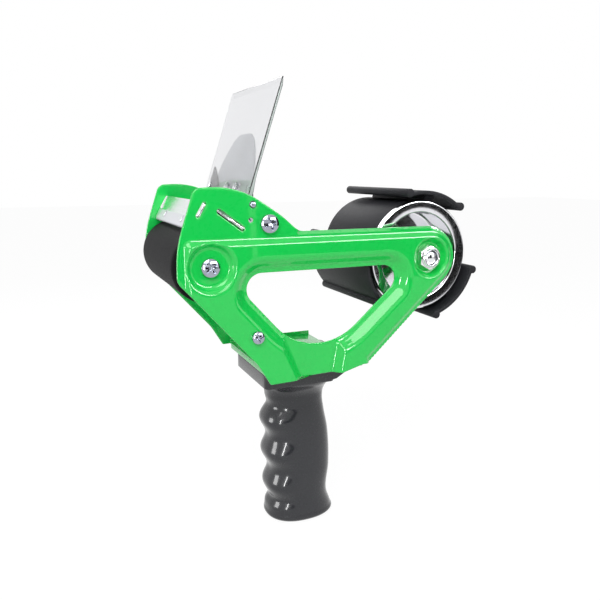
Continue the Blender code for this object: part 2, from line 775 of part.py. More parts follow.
def lathe(name, profile, centre, sides, slot):
    return add_object(name, lathe_mesh(profile, centre, sides), slot)


def side(near, across):
    """A place across the frame, its sign turned for the near side."""
    return -across if near else across


def screw(name, centre, seat, near, radius, head_radius, head_height, length, slot="bright_steel"):
    """A pan-head cross-recess screw through a side plate, its head seated on the outer face."""
    under = seat + SEAT_GAP
    crown = under + head_height
    edge = head_height * HEAD_CROWN
    profile = [
        (0, crown),
        (head_radius * HEAD_FLAT, crown),
        (head_radius, under + edge),
        (head_radius, under),
        (radius, under),
        (radius, under - length),
        (0, under - length),
    ]
    made = lathe(name, [(r, side(near, y)) for r, y in profile], centre, SMALL_SIDES, slot)
    for turn in (0, 1):
        half_long = head_radius * RECESS_REACH
        half_wide = head_radius * RECESS_WIDTH
        if turn:
            half_long, half_wide = half_wide, half_long
        bar = [
            (centre[0] - half_long, centre[1] - half_wide),
            (centre[0] + half_long, centre[1] - half_wide),
            (centre[0] + half_long, centre[1] + half_wide),
            (centre[0] - half_long, centre[1] + half_wide),
        ]
        low = side(near, crown - head_height * RECESS_DEPTH)
        high = side(near, crown + CUT_OVERRUN)
        boolean(made, prism_cutter(f"{name}_recess_{turn + 1}", bar, low, high))
    return made


def tie_rod(name, centre, radius, reach, screw_radius, screw_length):
    """A rod across the frame with a tapped hole in each end."""
    depth = screw_length + SEAT_GAP
    bore = screw_radius + HOLE_GAP
    end = reach - SEAT_GAP
    profile = [
        (0, depth - end),
        (bore, depth - end),
        (bore, -end),
        (radius, -end),
        (radius, end),
        (bore, end),
        (bore, end - depth),
        (0, end - depth),
    ]
    return lathe(name, profile, centre, SMALL_SIDES, "satin_steel")


def head_fasteners():
    """Roller axle and both tie rods, each held by a screw through each plate."""
    wide = (AXLE_SCREW_RADIUS, AXLE_SCREW_HEAD_RADIUS, AXLE_SCREW_HEAD_HEIGHT, AXLE_SCREW_LENGTH)
    slim = (TIE_SCREW_RADIUS, TIE_SCREW_HEAD_RADIUS, TIE_SCREW_HEAD_HEIGHT, TIE_SCREW_LENGTH)
    sets = (
        ("roller", "roller_axle", (AXLE_FRONT, AXLE_HEIGHT), AXLE_RADIUS, DISH_INSIDE, wide),
        ("upper", "upper_tie_rod", frame_point(UPPER_TIE_SHARES), UPPER_TIE_RADIUS, HALF_GAP, wide),
        ("lower", "lower_tie_rod", frame_point(LOWER_TIE_SHARES), LOWER_TIE_RADIUS, LEG_INSIDE, slim),
    )
    for place, rod, centre, radius, reach, sizes in sets:
        tie_rod(rod, centre, radius, reach, sizes[0], sizes[3])
        for ending, near in (("near", True), ("far", False)):
            screw(f"{place}_screw_{ending}", centre, reach + SHEET, near, *sizes)


def roller():
    """Rubber sleeve on a spool that runs on the axle."""
    centre = (AXLE_FRONT, AXLE_HEIGHT)
    half = DISH_INSIDE - ROLLER_SIDE_GAP
    inner = ROLLER_RADIUS - RUBBER_WALL
    edge = RUBBER_WALL * SLEEVE_CHAMFER
    sleeve = [
        (inner, -half),
        (ROLLER_RADIUS - edge, -half),
        (ROLLER_RADIUS, edge - half),
        (ROLLER_RADIUS, half - edge),
        (ROLLER_RADIUS - edge, half),
        (inner, half),
    ]
    lathe("roller_sleeve", sleeve, centre, LARGE_SIDES, "rubber")
    outer = inner - SEAT_GAP
    shell = outer - CORE_SHELL
    bore = AXLE_RADIUS + RUNNING_GAP
    web = CORE_WEB / 2
    core = [
        (bore, -half),
        (CORE_BOSS_RADIUS, -half),
        (CORE_BOSS_RADIUS, -web),
        (shell, -web),
        (shell, -half),
        (outer, -half),
        (outer, half),
        (shell, half),
        (shell, web),
        (CORE_BOSS_RADIUS, web),
        (CORE_BOSS_RADIUS, half),
        (bore, half),
    ]
    lathe("roller_core", core, centre, LARGE_SIDES, "core_plastic")


def in_plane(start, end, normal_shift=0):
    """A matrix: local X across the frame, local Z from start to end, local Y along the normal."""
    along = Vector((end[0] - start[0], 0, end[1] - start[1])).normalized()
    across = Vector((0, 1, 0))
    normal = along.cross(across)
    place = Vector((start[0], 0, start[1])) + normal * normal_shift
    turned = Matrix((across, normal, along)).transposed().to_4x4()
    return Matrix.Translation(place) @ turned


def cross_plate(name, plate_shares, tab_shares, slot):
    """A steel plate from side to side, with a tab through a slot in each side plate."""
    start, end = (frame_point(s) for s in plate_shares)
    tab_start, tab_end = (Vector(frame_point(s)) for s in tab_shares)
    height = (Vector(end) - Vector(start)).length
    tab_low = (tab_start - Vector(start)).length
    tab_high = (tab_end - Vector(start)).length
    half = HALF_GAP - CROSS_SIDE_GAP
    tip = HALF_GAP + SHEET + TAB_STANDOUT
    right = [(half, 0), (half, tab_low), (tip, tab_low), (tip, tab_high), (half, tab_high)]
    right.append((half, height))
    outline = right + [(-x, z) for x, z in reversed(right)]
    made = prism(name, outline, -CROSS_SHEET / 2, CROSS_SHEET / 2, slot)
    made.matrix_world = in_plane(start, end)
    return made


def rivet(name, matrix, across, up, low, high, radius, head_radius, head_height, slot):
    """A rivet between the two faces at low and high of a plane, with a flat head on each."""
    head = head_height
    profile = [
        (0, low - head),
        (head_radius, low - head),
        (head_radius, low),
        (radius, low),
        (radius, high),
        (head_radius, high),
        (head_radius, high + head),
        (0, high + head),
    ]
    made = add_object(name, lathe_mesh(profile, (across, up), SMALL_SIDES), slot)
    made.matrix_world = matrix
    return made


def rivet_hole(target, matrix, across, up, radius, thick):
    cutter = prism_cutter(
        f"{target.name}_hole", circle((across, up), radius + HOLE_GAP), -thick, thick
    )
    cutter.matrix_world = matrix
    boolean(target, cutter)


def cutting_head():
    """Blade holder, serrated blade behind its lower edge, two rivets, and the tape guide."""
    holder = cross_plate("blade_holder_plate", BLADE_PLATE_SHARES, BLADE_SLOT_SHARES, "bright_steel")
    cross_plate("tape_guide_plate", GUIDE_PLATE_SHARES, GUIDE_TAB_SHARES, "bright_steel")
    start, end = (frame_point(s) for s in BLADE_PLATE_SHARES)
    height = (Vector(end) - Vector(start)).length
    half = HALF_GAP - CROSS_SIDE_GAP - SLOT_GAP
    teeth = round(2 * half / TOOTH_PITCH)
    pitch = 2 * half / teeth
    low = height + BLADE_REACH
    outline = [(-half, low - BLADE_BAND), (-half, low - TOOTH_DEPTH)]
    for k in range(teeth):
        outline.append((pitch * (k + 1 / 2) - half, low))
        outline.append((pitch * (k + 1) - half, low - TOOTH_DEPTH))
    outline.append((half, low - BLADE_BAND))
    matrix = in_plane(start, end)
    back = -CROSS_SHEET / 2 - SEAT_GAP
    blade = prism("cutting_blade", outline, back - BLADE_SHEET, back, "satin_steel")
    blade.matrix_world = matrix
    for k, share in enumerate((-1 / 2, 1 / 2)):
        place = (half * share, low - BLADE_BAND / 2 - TOOTH_DEPTH)
        low_face = back - BLADE_SHEET - SEAT_GAP
        high_face = CROSS_SHEET / 2 + SEAT_GAP
        sizes = (FLAP_RIVET_RADIUS, BLADE_RIVET_HEAD_RADIUS, BLADE_RIVET_HEAD_HEIGHT)
        name = f"blade_rivet_{k + 1}"
        rivet(name, matrix, *place, low_face, high_face, *sizes, "bright_steel")
        for target in (holder, blade):
            rivet_hole(target, matrix, *place, FLAP_RIVET_RADIUS, CUT_OVERRUN)


def flap_matrix():
    """The flap's plane: local X across the frame, local Z up the flap, local Y to its front."""
    pin = frame_point(PIN_SHARES)
    tip = (pin[0] + math.sin(FLAP_LEAN), pin[1] + math.cos(FLAP_LEAN))
    return in_plane(pin, tip)


def clear_flap():
    """Clear plate with a thick root, a barrel on the pin, a heel that stops it, and a spring gap."""
    half = HALF_GAP - FLAP_SIDE_GAP
    top = FLAP_HEIGHT
    thin = FLAP_FRONT - FLAP_SHEET
    profile = [
        (FLAP_BACK, 0),
        (FLAP_BACK, FLAP_ROOT_HEIGHT),
        (thin, FLAP_ROOT_HEIGHT + thin - FLAP_BACK),
        (thin, top - FLAP_CHAMFER),
        (thin + FLAP_SHEET * CHAMFER_SHARE, top),
        (FLAP_FRONT, top),
        (FLAP_FRONT, 0),
    ]
    flap = prism("clear_flap", profile, -half, half, "clear_plastic")
    pin = frame_point(PIN_SHARES)
    turn = Matrix.Rotation(math.pi / 2, 4, "Z")
    flap.matrix_world = flap_matrix() @ turn
    barrel = bar_cutter("flap_barrel", FLAP_BARREL_RADIUS, pin, half)
    boolean(flap, barrel, "UNION")
    boolean(flap, flap_heel(pin), "UNION")
    boolean(flap, bar_cutter("flap_bore", PIN_RADIUS + RUNNING_GAP, pin, half + CUT_OVERRUN))
    pocket = prism_cutter(
        "spring_pocket",
        circle(pin, SPRING_POCKET_RADIUS, LARGE_SIDES // 2),
        -half - CUT_OVERRUN,
        SPRING_POCKET - half,
    )
    boolean(flap, pocket)
    return flap


def bar_cutter(name, radius, centre, half):
    """A round bar across the frame, hidden, for Booleans."""
    return prism_cutter(name, circle(centre, radius, LARGE_SIDES // 2), -half, half)


def flap_heel(pin):
    """The lug from the barrel to the top of the upper tie rod, on which the open flap rests."""
    rod = Vector(frame_point(UPPER_TIE_SHARES))
    here = Vector(pin)
    run = rod - here
    reach = run.length
    drop = math.asin((UPPER_TIE_RADIUS + SEAT_GAP) / reach)
    along = math.atan2(run.y, run.x) + drop
    ahead = Vector((math.cos(along), math.sin(along)))
    up = Vector((-ahead.y, ahead.x))
    length = reach * math.cos(drop) + UPPER_TIE_RADIUS / 2
    corners = [
        here,
        here + ahead * length,
        here + ahead * length + up * HEEL_THICKNESS,
        here + up * HEEL_THICKNESS,
    ]
    outline = [tuple(p) for p in corners]
    return prism_cutter("flap_heel", outline, -HEEL_WIDTH / 2, HEEL_WIDTH / 2)


def flap_pin():
    """The pin through both side plates."""
    end = HALF_GAP + SHEET + PIN_STANDOUT
    profile = [(0, -end), (PIN_RADIUS, -end), (PIN_RADIUS, end), (0, end)]
    lathe("flap_pin", profile, frame_point(PIN_SHARES), SMALL_SIDES, "bright_steel")


def wire(name, path, radius, slot):
    """A round wire along the path."""
    data = bpy.data.curves.new(name, "CURVE")
    data.dimensions = "3D"
    data.bevel_depth = radius
    data.bevel_resolution = WIRE_RESOLUTION
    data.use_fill_caps = True
    spline = data.splines.new("POLY")
    spline.points.add(len(path) - 1)
    for point, place in zip(spline.points, path):
        point.co = (*place, 1)
    return add_object(name, data, slot)


def flap_spring():
    """Torsion spring on the pin: one leg at the near plate's small hole, one behind the flap."""
    pin = Vector(frame_point(PIN_SHARES))
    hole = Vector(frame_point(SPRING_HOLE_SHARES))
    half_wire = SPRING_WIRE / 2
    radius = SPRING_COIL_RADIUS
    away = hole - pin
    start = math.atan2(away.y, away.x) - math.acos(radius / away.length)
    reach = FLAP_BACK - RUNNING_GAP - half_wire
    tilt = math.asin(reach / math.hypot(SPRING_LEG, radius)) + math.atan(radius / SPRING_LEG)
    finish = tilt - FLAP_LEAN
    turns = SPRING_TURNS * 2 * math.pi
    sweep = turns + (finish - start) % (2 * math.pi)
    count = math.ceil(sweep / (2 * math.pi) * SPRING_SIDES)
    first = -HALF_GAP + FLAP_SIDE_GAP + half_wire
    path = [(hole.x, -HALF_GAP - SEAT_GAP, hole.y), (hole.x, first, hole.y)]
    for k in range(count + 1):
        angle = start + sweep * k / count
        across = first + SPRING_PITCH * sweep * k / count / (2 * math.pi)
        path.append((pin.x + radius * math.cos(angle), across, pin.y + radius * math.sin(angle)))
    leg = Vector((-math.sin(finish), 0, math.cos(finish))) * SPRING_LEG
    path.append(tuple(Vector(path[-1]) + leg))
    wire("flap_spring", path, half_wire, "bright_steel")


def flap_fittings(flap):
    """Dark steel corner leaf on the back of the flap and the milky tongue behind it, both riveted."""
    matrix = flap_matrix()
    leaf_face = FLAP_BACK - SEAT_GAP
    leaf_back = leaf_face - TAB_SHEET
    face = leaf_back - SEAT_GAP
    rise = TONGUE_HEIGHT - TONGUE_FOOT
    right = [(TONGUE_HALF_WIDTH * x, TONGUE_FOOT + rise * z) for x, z in TONGUE_SHARES]
    outline = right + [(-x, z) for x, z in reversed(right)]
    tongue = prism("tape_tongue", outline, face - TONGUE_SHEET, face, "milky_plastic")
    tongue.matrix_world = matrix
    edge = HALF_GAP - FLAP_SIDE_GAP - SEAT_GAP
    leaf_run = [(edge - TAB_WIDTH * x, TAB_FOOT + (TAB_TOP - TAB_FOOT) * z) for x, z in LEAF_SHARES]
    leaf = prism("flap_corner_leaf", leaf_run, leaf_back, leaf_face, "satin_steel")
    leaf.matrix_world = matrix
    sizes = (FLAP_RIVET_RADIUS, FLAP_RIVET_HEAD_RADIUS, FLAP_RIVET_HEAD_HEIGHT)
    high = FLAP_FRONT + SEAT_GAP
    leaf_across = edge - TAB_WIDTH / 2 + LEAF_RIVET_SHIFT
    behind = face - TONGUE_SHEET - SEAT_GAP
    places = (
        ("tongue_rivet_1", -TONGUE_HALF_WIDTH / 2, behind, (flap, tongue), "clear_plastic"),
        ("tongue_rivet_2", 0, behind, (flap, tongue), "clear_plastic"),
        ("leaf_rivet", leaf_across, leaf_back - SEAT_GAP, (flap, leaf), "bright_steel"),
    )
    up = TONGUE_FOOT + FLAP_RIVET_HEAD_RADIUS + SEAT_GAP
    for name, across, low, targets, slot in places:
        rivet(name, matrix, across, up, low, high, *sizes, slot)
        for target in targets:
            rivet_hole(target, matrix, across, up, FLAP_RIVET_RADIUS, 2 * FLAP_ROOT_SHEET)


def hexagon(centre, across_flats):
    reach = across_flats / math.sqrt(3)
    return circle(centre, reach, HEXAGON_SIDES)


def hub_fixings():
    """Bolt through the near plate with its lock nut outside, and the brake's washers and spring."""
    hub = (HUB_BACK, HUB_HEIGHT)
    plate_out = HUB_DISH_INSIDE + SHEET
    nut_low = plate_out + SEAT_GAP
    outline = hexagon(hub, NUT_ACROSS)
    nut = prism("hub_lock_nut", outline, -nut_low - NUT_HEIGHT, -nut_low, "bright_steel")
    bore = BOLT_RADIUS + HOLE_GAP
    run = nut_low + NUT_HEIGHT + CUT_OVERRUN
    boolean(nut, prism_cutter("nut_bore", circle(hub, bore, SMALL_SIDES), -run, CUT_OVERRUN - nut_low))
    boolean(nut, nut_cone(hub, -nut_low - NUT_HEIGHT), "INTERSECT")
    felt = [(bore, -HUB_DISH_INSIDE + SEAT_GAP), (BRAKE_RADIUS, -HUB_DISH_INSIDE + SEAT_GAP)]
    felt += [(r, y + BRAKE_SHEET) for r, y in reversed(felt)]
    lathe("brake_washer", felt, hub, LARGE_SIDES // 2, "friction_felt")
    web_back = drum_web() + DRUM_WEB
    spring_start = web_back + RUNNING_GAP
    washer_start = spring_start + BRAKE_SPRING_LENGTH + SEAT_GAP
    washer = [(bore, washer_start), (WASHER_RADIUS, washer_start)]
    washer += [(r, y + WASHER_SHEET) for r, y in reversed(washer)]
    lathe("hub_washer", washer, hub, LARGE_SIDES // 2, "bright_steel")
    head_start = washer_start + WASHER_SHEET + SEAT_GAP
    head = hexagon(hub, BOLT_HEAD_ACROSS)
    bolt = prism("hub_bolt", head, head_start, head_start + BOLT_HEAD_HEIGHT, "bright_steel")
    shank = prism_cutter(
        "bolt_shank",
        circle(hub, BOLT_RADIUS, SMALL_SIDES),
        BOLT_INSET - nut_low - NUT_HEIGHT,
        head_start + BOLT_HEAD_HEIGHT / 2,
    )
    boolean(bolt, shank, "UNION")
    half_wire = BRAKE_SPRING_WIRE / 2
    first = spring_start + half_wire
    rise = BRAKE_SPRING_LENGTH - BRAKE_SPRING_WIRE
    count = BRAKE_SPRING_TURNS * SPRING_SIDES
    path = []
    for k in range(count + 1):
        angle = 2 * math.pi * k / SPRING_SIDES
        place = (BRAKE_SPRING_RADIUS * math.cos(angle), BRAKE_SPRING_RADIUS * math.sin(angle))
        path.append((HUB_BACK + place[0], first + rise * k / count, HUB_HEIGHT + place[1]))
    wire("brake_spring", path, half_wire, "bright_steel")


def nut_cone(hub, face):
    """A hidden turned blank that takes the corners off the nut's outer face."""
    reach = NUT_ACROSS / math.sqrt(3)
    flat = NUT_ACROSS / 2
    far = face + NUT_HEIGHT + CUT_OVERRUN
    rise = (reach - flat) * NUT_CHAMFER
    profile = [(0, face - SEAT_GAP), (flat - rise, face - SEAT_GAP), (reach + rise, face + rise * 2)]
    profile += [(reach + rise, far), (0, far)]
    return add_cutter("nut_cone", lathe_mesh(profile, hub, LARGE_SIDES))


def drum_web():
    """Where the drum's web starts, just behind the cup's floor."""
    return CUP_NEAR + CUP_DEPTH + SEAT_GAP


def hub_cup():
    """Polished pressing in the drum's near end: rolled rim, flat ring, deep bore and pierced floor."""
    hub = (HUB_BACK, HUB_HEIGHT)
    near, sheet = CUP_NEAR, CUP_SHEET
    floor = near + CUP_DEPTH
    hole = SLEEVE_RADIUS + SEAT_GAP
    profile = [
        (LIP_RADIUS, near + CUP_CORNER),
        (LIP_RADIUS, near + LIP_DEPTH),
        (LIP_RADIUS - sheet, near + LIP_DEPTH),
        (LIP_RADIUS - sheet, near + sheet),
        (CUP_RADIUS, near + sheet),
        (CUP_RADIUS, floor),
        (hole, floor),
        (hole, floor - sheet),
        (CUP_RADIUS - sheet, floor - sheet),
        (CUP_RADIUS - sheet, near + CUP_CORNER),
        (CUP_RADIUS - sheet + CUP_CORNER, near),
        (LIP_RADIUS - CUP_CORNER, near),
    ]
    lathe("hub_cup", profile, hub, LARGE_SIDES, "bright_steel")


def hub_drum():
    """Tube with a web, a boss on the bolt and three grooves that take the pads' stems."""
    hub = (HUB_BACK, HUB_HEIGHT)
    near = CUP_NEAR + CUP_SHEET + SEAT_GAP
    rebate = LIP_RADIUS - CUP_SHEET - SEAT_GAP
    step = CUP_NEAR + LIP_DEPTH + SEAT_GAP
    far = near + DRUM_LENGTH
    web = drum_web()
    wall = DRUM_RADIUS - DRUM_WALL
    bore = BOLT_RADIUS + RUNNING_GAP
    boss = -HUB_DISH_INSIDE + 2 * SEAT_GAP + BRAKE_SHEET
    profile = [
        (bore, boss),
        (SLEEVE_RADIUS, boss),
        (SLEEVE_RADIUS, web),
        (wall, web),
        (wall, near),
        (rebate, near),
        (rebate, step),
        (DRUM_RADIUS, step),
        (DRUM_RADIUS, far),
        (wall, far),
        (wall, web + DRUM_WEB),
        (bore, web + DRUM_WEB),
    ]
    drum = lathe("hub_drum", profile, hub, LARGE_SIDES, "hub_plastic")
    half = PAD_STEM_WIDTH / 2 + SEAT_GAP
    foot = DRUM_RADIUS - PAD_KEY_DEPTH - SEAT_GAP
    for k, angle in enumerate(PAD_ANGLES):
        groove = [(foot, -half), (LIP_RADIUS + CUT_OVERRUN, -half)]
        groove += [(r, -z) for r, z in reversed(groove)]
        groove = turned_about(groove, hub, angle)
        cutter = prism_cutter(f"pad_groove_{k + 1}", groove, step, far + CUT_OVERRUN)
        boolean(drum, cutter)


def turned_about(outline, centre, angle):
    """An outline drawn round the origin, turned and moved onto the centre."""
    cosine, sine = math.cos(angle), math.sin(angle)
    return [(centre[0] + x * cosine - z * sine, centre[1] + x * sine + z * cosine) for x, z in outline]


def core_pad(name, angle):
    """A springy pad that grips the roll's core: curved wing, bead along each edge, and a stem."""
    hub = (HUB_BACK, HUB_HEIGHT)
    inner = PAD_RADIUS - PAD_SHEET
    bite = 2 * math.asin(PAD_BEAD_RADIUS / (2 * PAD_RADIUS))
    half = PAD_HALF_ANGLE
    outer_arc = arc((0, 0), PAD_RADIUS, bite - half, 2 * (half - bite))
    upper = (PAD_RADIUS * math.cos(half), PAD_RADIUS * math.sin(half))
    upper_bead = arc(upper, PAD_BEAD_RADIUS, half - math.pi / 2 - bite / 2, math.pi * 3 / 2 + bite / 2)
    lower_bead = [(x, -z) for x, z in reversed(upper_bead)]
    inner_arc = arc((0, 0), inner, half, -2 * half)
    outline = outer_arc[1:-1] + upper_bead + inner_arc[1:-1] + lower_bead
    near = CUP_NEAR + CUP_SHEET - PAD_NEAR_REACH
    drum_near = CUP_NEAR + CUP_SHEET + SEAT_GAP
    far = drum_near + DRUM_LENGTH + PAD_FAR_REACH
    pad = prism(name, turned_about(outline, hub, angle), near, far, "hub_plastic")
    foot = DRUM_RADIUS - PAD_KEY_DEPTH
    half_stem = PAD_STEM_WIDTH / 2
    stem = [(foot, -half_stem), (PAD_RADIUS - PAD_SHEET / 2, -half_stem)]
    stem += [(r, -z) for r, z in reversed(stem)]
    stem_near = CUP_NEAR + LIP_DEPTH + 2 * SEAT_GAP
    helper = prism_cutter(
        f"{name}_stem", turned_about(stem, hub, angle), stem_near, far - PAD_FAR_REACH + PAD_STEM_INSET
    )
    boolean(pad, helper, "UNION")
    pad.data.shade_smooth()
    pad.data.set_sharp_from_angle(angle=SHARP_ANGLE)


def handle_saddle():
    """Channel between the plates that carries the grip: web, a flange up each side, a front lip."""
    half = PANEL_INSIDE - SEAT_GAP
    top, sheet = SADDLE_TOP, SHEET
    rise = top + SADDLE_FLANGE
    section = [
        (-half, rise),
        (-half, top - sheet),
        (half, top - sheet),
        (half, rise),
        (half - sheet, rise),
        (half - sheet, top),
        (sheet - half, top),
        (sheet - half, rise),
    ]
    saddle = prism("handle_saddle", section, -SADDLE_BACK, -SADDLE_FRONT, "green_paint")
    saddle.matrix_world = Matrix.Rotation(math.pi / 2, 4, "Z")
    lip_half = half - SADDLE_LIP
    lip = [
        (SADDLE_FRONT, top - sheet - SADDLE_LIP),
        (SADDLE_FRONT + sheet, top - sheet - SADDLE_LIP),
        (SADDLE_FRONT + sheet, top - sheet / 2),
        (SADDLE_FRONT, top - sheet / 2),
    ]
    boolean(saddle, prism_cutter("saddle_lip", lip, -lip_half, lip_half), "UNION")
    for k, along in enumerate((GRIP_SCREW_FRONT, GRIP_SCREW_BACK)):
        bore = prism_mesh(circle((0, 0), GRIP_SCREW_RADIUS + HOLE_GAP), -top, top)
        hole = add_cutter(f"saddle_hole_{k + 1}", bore)
        hole.matrix_world = Matrix.Translation((along, 0, top)) @ Matrix.Rotation(math.pi / 2, 4, "X")
        boolean(saddle, hole)


def grip_section(share, front, back, wide, squareness):
    """One level of the grip: a superellipse with its own reach to the front and to the back."""
    height = BLOCK_BOTTOM * share
    wave = 0
    if GRIP_WAVE_LOW < height < FINGER_TOP + FINGER_PITCH / 2:
        wave = FINGER_WAVE * math.cos(2 * math.pi * (height - FINGER_TOP) / FINGER_PITCH)
    ring = []
    for k in range(GRIP_SIDES):
        turn = 2 * math.pi * (k + 1 / 2) / GRIP_SIDES
        cosine, sine = math.cos(turn), math.sin(turn)
        reach = (back if cosine > 0 else front) * GRIP_HALF_DEPTH
        bulge = wave * max(0, -cosine)
        x = math.copysign(abs(cosine) ** (2 / squareness), cosine) * reach
        x += -bulge if cosine < 0 else 0
        y = math.copysign(abs(sine) ** (2 / squareness), sine) * wide * GRIP_HALF_WIDTH
        ring.append((x, y, height))
    return ring


def grip_levels():
    """Sections for every height, with more levels through the finger waves."""
    table = np.array(GRIP_SECTION_SHARES)
    step = FINGER_PITCH / BLOCK_BOTTOM / WAVE_STEPS / 2
    extra = np.arange(table[2, 0] + step, FINGER_TOP / BLOCK_BOTTOM + step * WAVE_STEPS, step)
    shares = np.unique(np.round(np.concatenate([table[:, 0], extra]), 4))
    return [
        (s, *[float(np.interp(s, table[:, 0], table[:, k])) for k in range(1, 5)]) for s in shares
    ]


def loft_mesh(rings):
    """A closed skin through the rings."""
    shape = bmesh.new()
    loops = []
    for ring in rings:
        verts = [shape.verts.new(p) for p in ring]
        loops.append([shape.edges.new((verts[k - 1], verts[k])) for k in range(len(verts))])
    for low, high in zip(loops, loops[1:]):
        bmesh.ops.bridge_loops(shape, edges=low + high)
    for loop in (loops[0], loops[-1]):
        bmesh.ops.edgeloop_fill(shape, edges=loop)
    bmesh.ops.recalc_face_normals(shape, faces=shape.faces)
    mesh = bpy.data.meshes.new("loft")
    shape.to_mesh(mesh)
    shape.free()
    return mesh


def grip():
    """Moulded pistol grip with finger waves at the front and a block under the saddle."""
    levels = grip_levels()
    rings = [grip_section(*level) for level in levels]
    top = levels[-1]
    overlap = BLOCK_CORNER
    rings.append([(x, y, z + overlap) for x, y, z in grip_section(*top)])
    made = add_object("grip", loft_mesh(rings), "grip_plastic")
    front = SADDLE_FRONT + BLOCK_INSET
    corners = [
        (front, -BLOCK_HALF_WIDTH, BLOCK_CORNER),
        (front, BLOCK_HALF_WIDTH, BLOCK_CORNER),
        (BLOCK_BACK, BLOCK_HALF_WIDTH, BLOCK_CORNER),
        (BLOCK_BACK, -BLOCK_HALF_WIDTH, BLOCK_CORNER),
    ]
    ceiling = SADDLE_TOP - SHEET - SEAT_GAP
    block = add_cutter("grip_block", prism_mesh(rounded(corners), -ceiling, -BLOCK_BOTTOM))
    block.matrix_world = Matrix.Rotation(-math.pi / 2, 4, "X")
    slope = BLOCK_TAPER_RISE / (BLOCK_BACK - BLOCK_TAPER_START)
    beyond = BLOCK_BACK + CUT_OVERRUN
    wedge = [
        (BLOCK_TAPER_START - CUT_OVERRUN, BLOCK_BOTTOM - slope * CUT_OVERRUN),
        (beyond, BLOCK_BOTTOM - slope * CUT_OVERRUN),
        (beyond, BLOCK_BOTTOM + slope * (beyond - BLOCK_TAPER_START)),
    ]
    boolean(block, prism_cutter("block_taper", wedge, -HALF_GAP, HALF_GAP))
    boolean(made, block, "UNION")
    lip = SHEET + 2 * SEAT_GAP
    relief = add_cutter("lip_relief", prism_mesh(
        [
            (SADDLE_FRONT - CUT_OVERRUN, ceiling - SADDLE_LIP - SEAT_GAP),
            (SADDLE_FRONT + lip, ceiling - SADDLE_LIP - SEAT_GAP),
            (SADDLE_FRONT + lip, ceiling + CUT_OVERRUN),
            (SADDLE_FRONT - CUT_OVERRUN, ceiling + CUT_OVERRUN),
        ],
        -HALF_GAP,
        HALF_GAP,
    ))
    boolean(made, relief)
    for k, along in enumerate((GRIP_SCREW_FRONT, GRIP_SCREW_BACK)):
        depth = GRIP_SCREW_LENGTH
        bore = prism_mesh(circle((0, 0), GRIP_SCREW_RADIUS + HOLE_GAP), -CUT_OVERRUN, depth)
        cutter = add_cutter(f"grip_bore_{k + 1}", bore)
        sunk = Matrix.Rotation(-math.pi / 2, 4, "X")
        cutter.matrix_world = Matrix.Translation((along, 0, SADDLE_TOP)) @ sunk
        boolean(made, cutter)


def grip_screws():
    """The two screws that go down through the saddle into the grip."""
    sizes = (
        GRIP_SCREW_RADIUS,
        GRIP_SCREW_HEAD_RADIUS,
        GRIP_SCREW_HEAD_HEIGHT,
        GRIP_SCREW_LENGTH - SEAT_GAP,
    )
    for name, along in (("grip_screw_front", GRIP_SCREW_FRONT), ("grip_screw_back", GRIP_SCREW_BACK)):
        made = screw(name, (0, 0), 0, False, *sizes)
        placed = Matrix.Translation((along, 0, SADDLE_TOP)) @ Matrix.Rotation(math.pi / 2, 4, "X")
        made.matrix_world = placed
        for k in (1, 2):
            bpy.data.objects[f"{name}_recess_{k}"].matrix_world = placed


def pivot(name, centre, nodes):
    """An empty on a joint's axis, with the joint's moving pieces as its children in their own places."""
    place = Vector((centre[0], 0, centre[1]))
    empty = bpy.data.objects.new(name, None)
    empty.location = place
    PARTS.objects.link(empty)
    for node in nodes:
        child = bpy.data.objects[node]
        child.parent = empty
        child.matrix_parent_inverse = Matrix.Translation(place).inverted()


def main():
    clear_scene()
    near_side_plate()
    far_side_plate()
    head_fasteners()
    roller()
    cutting_head()
    flap = clear_flap()
    flap_pin()
    flap_spring()
    flap_fittings(flap)
    hub_cup()
    hub_drum()
    for k, angle in enumerate(PAD_ANGLES):
        core_pad(f"core_pad_{k + 1}", angle)
    hub_fixings()
    handle_saddle()
    grip()
    grip_screws()
    pivot("flap_pivot", frame_point(PIN_SHARES), FLAP_NODES)
    pivot("roller_pivot", (AXLE_FRONT, AXLE_HEIGHT), ROLLER_NODES)
    pivot("hub_pivot", (HUB_BACK, HUB_HEIGHT), HUB_NODES)


PARTS = make_collection("packing_tape_dispenser")
CUTTERS = make_collection("cutters")
main()
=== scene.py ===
"""Looks of a hand-held packing tape dispenser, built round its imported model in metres.

Laid out as an add-on: property groups hold sizes and colours, each operator makes one group of
pieces, and main() calls them in order. +Z is up, +X runs from the rubber roller to the tape hub,
and the side plate that carries the hub is on the -Y side.
"""

import math

import bpy
import numpy as np
from bpy.props import FloatProperty, FloatVectorProperty, PointerProperty
from bpy.types import Operator, Panel, PropertyGroup
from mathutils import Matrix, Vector
from mathutils.geometry import delaunay_2d_cdt


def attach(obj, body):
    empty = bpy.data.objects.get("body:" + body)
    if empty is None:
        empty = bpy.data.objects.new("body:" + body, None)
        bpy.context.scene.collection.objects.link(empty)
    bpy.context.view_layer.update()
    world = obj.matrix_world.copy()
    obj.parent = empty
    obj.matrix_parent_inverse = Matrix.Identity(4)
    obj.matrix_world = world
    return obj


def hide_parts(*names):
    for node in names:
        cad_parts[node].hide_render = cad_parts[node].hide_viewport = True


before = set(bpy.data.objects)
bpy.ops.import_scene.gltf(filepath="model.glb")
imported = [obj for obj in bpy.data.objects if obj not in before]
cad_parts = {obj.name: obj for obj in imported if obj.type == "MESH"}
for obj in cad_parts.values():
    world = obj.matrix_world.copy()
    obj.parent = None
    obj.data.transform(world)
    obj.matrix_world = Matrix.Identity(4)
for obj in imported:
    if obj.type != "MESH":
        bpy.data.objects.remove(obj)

bl_info = {
    "name": "Packing Tape Dispenser",
    "version": (1, 0, 0),
    "blender": (4, 5, 0),
    "location": "3D View > Sidebar > Dispenser",
    "description": "Builds the visible pieces, finishes and studio of a packing tape dispenser",
    "category": "Object",
}

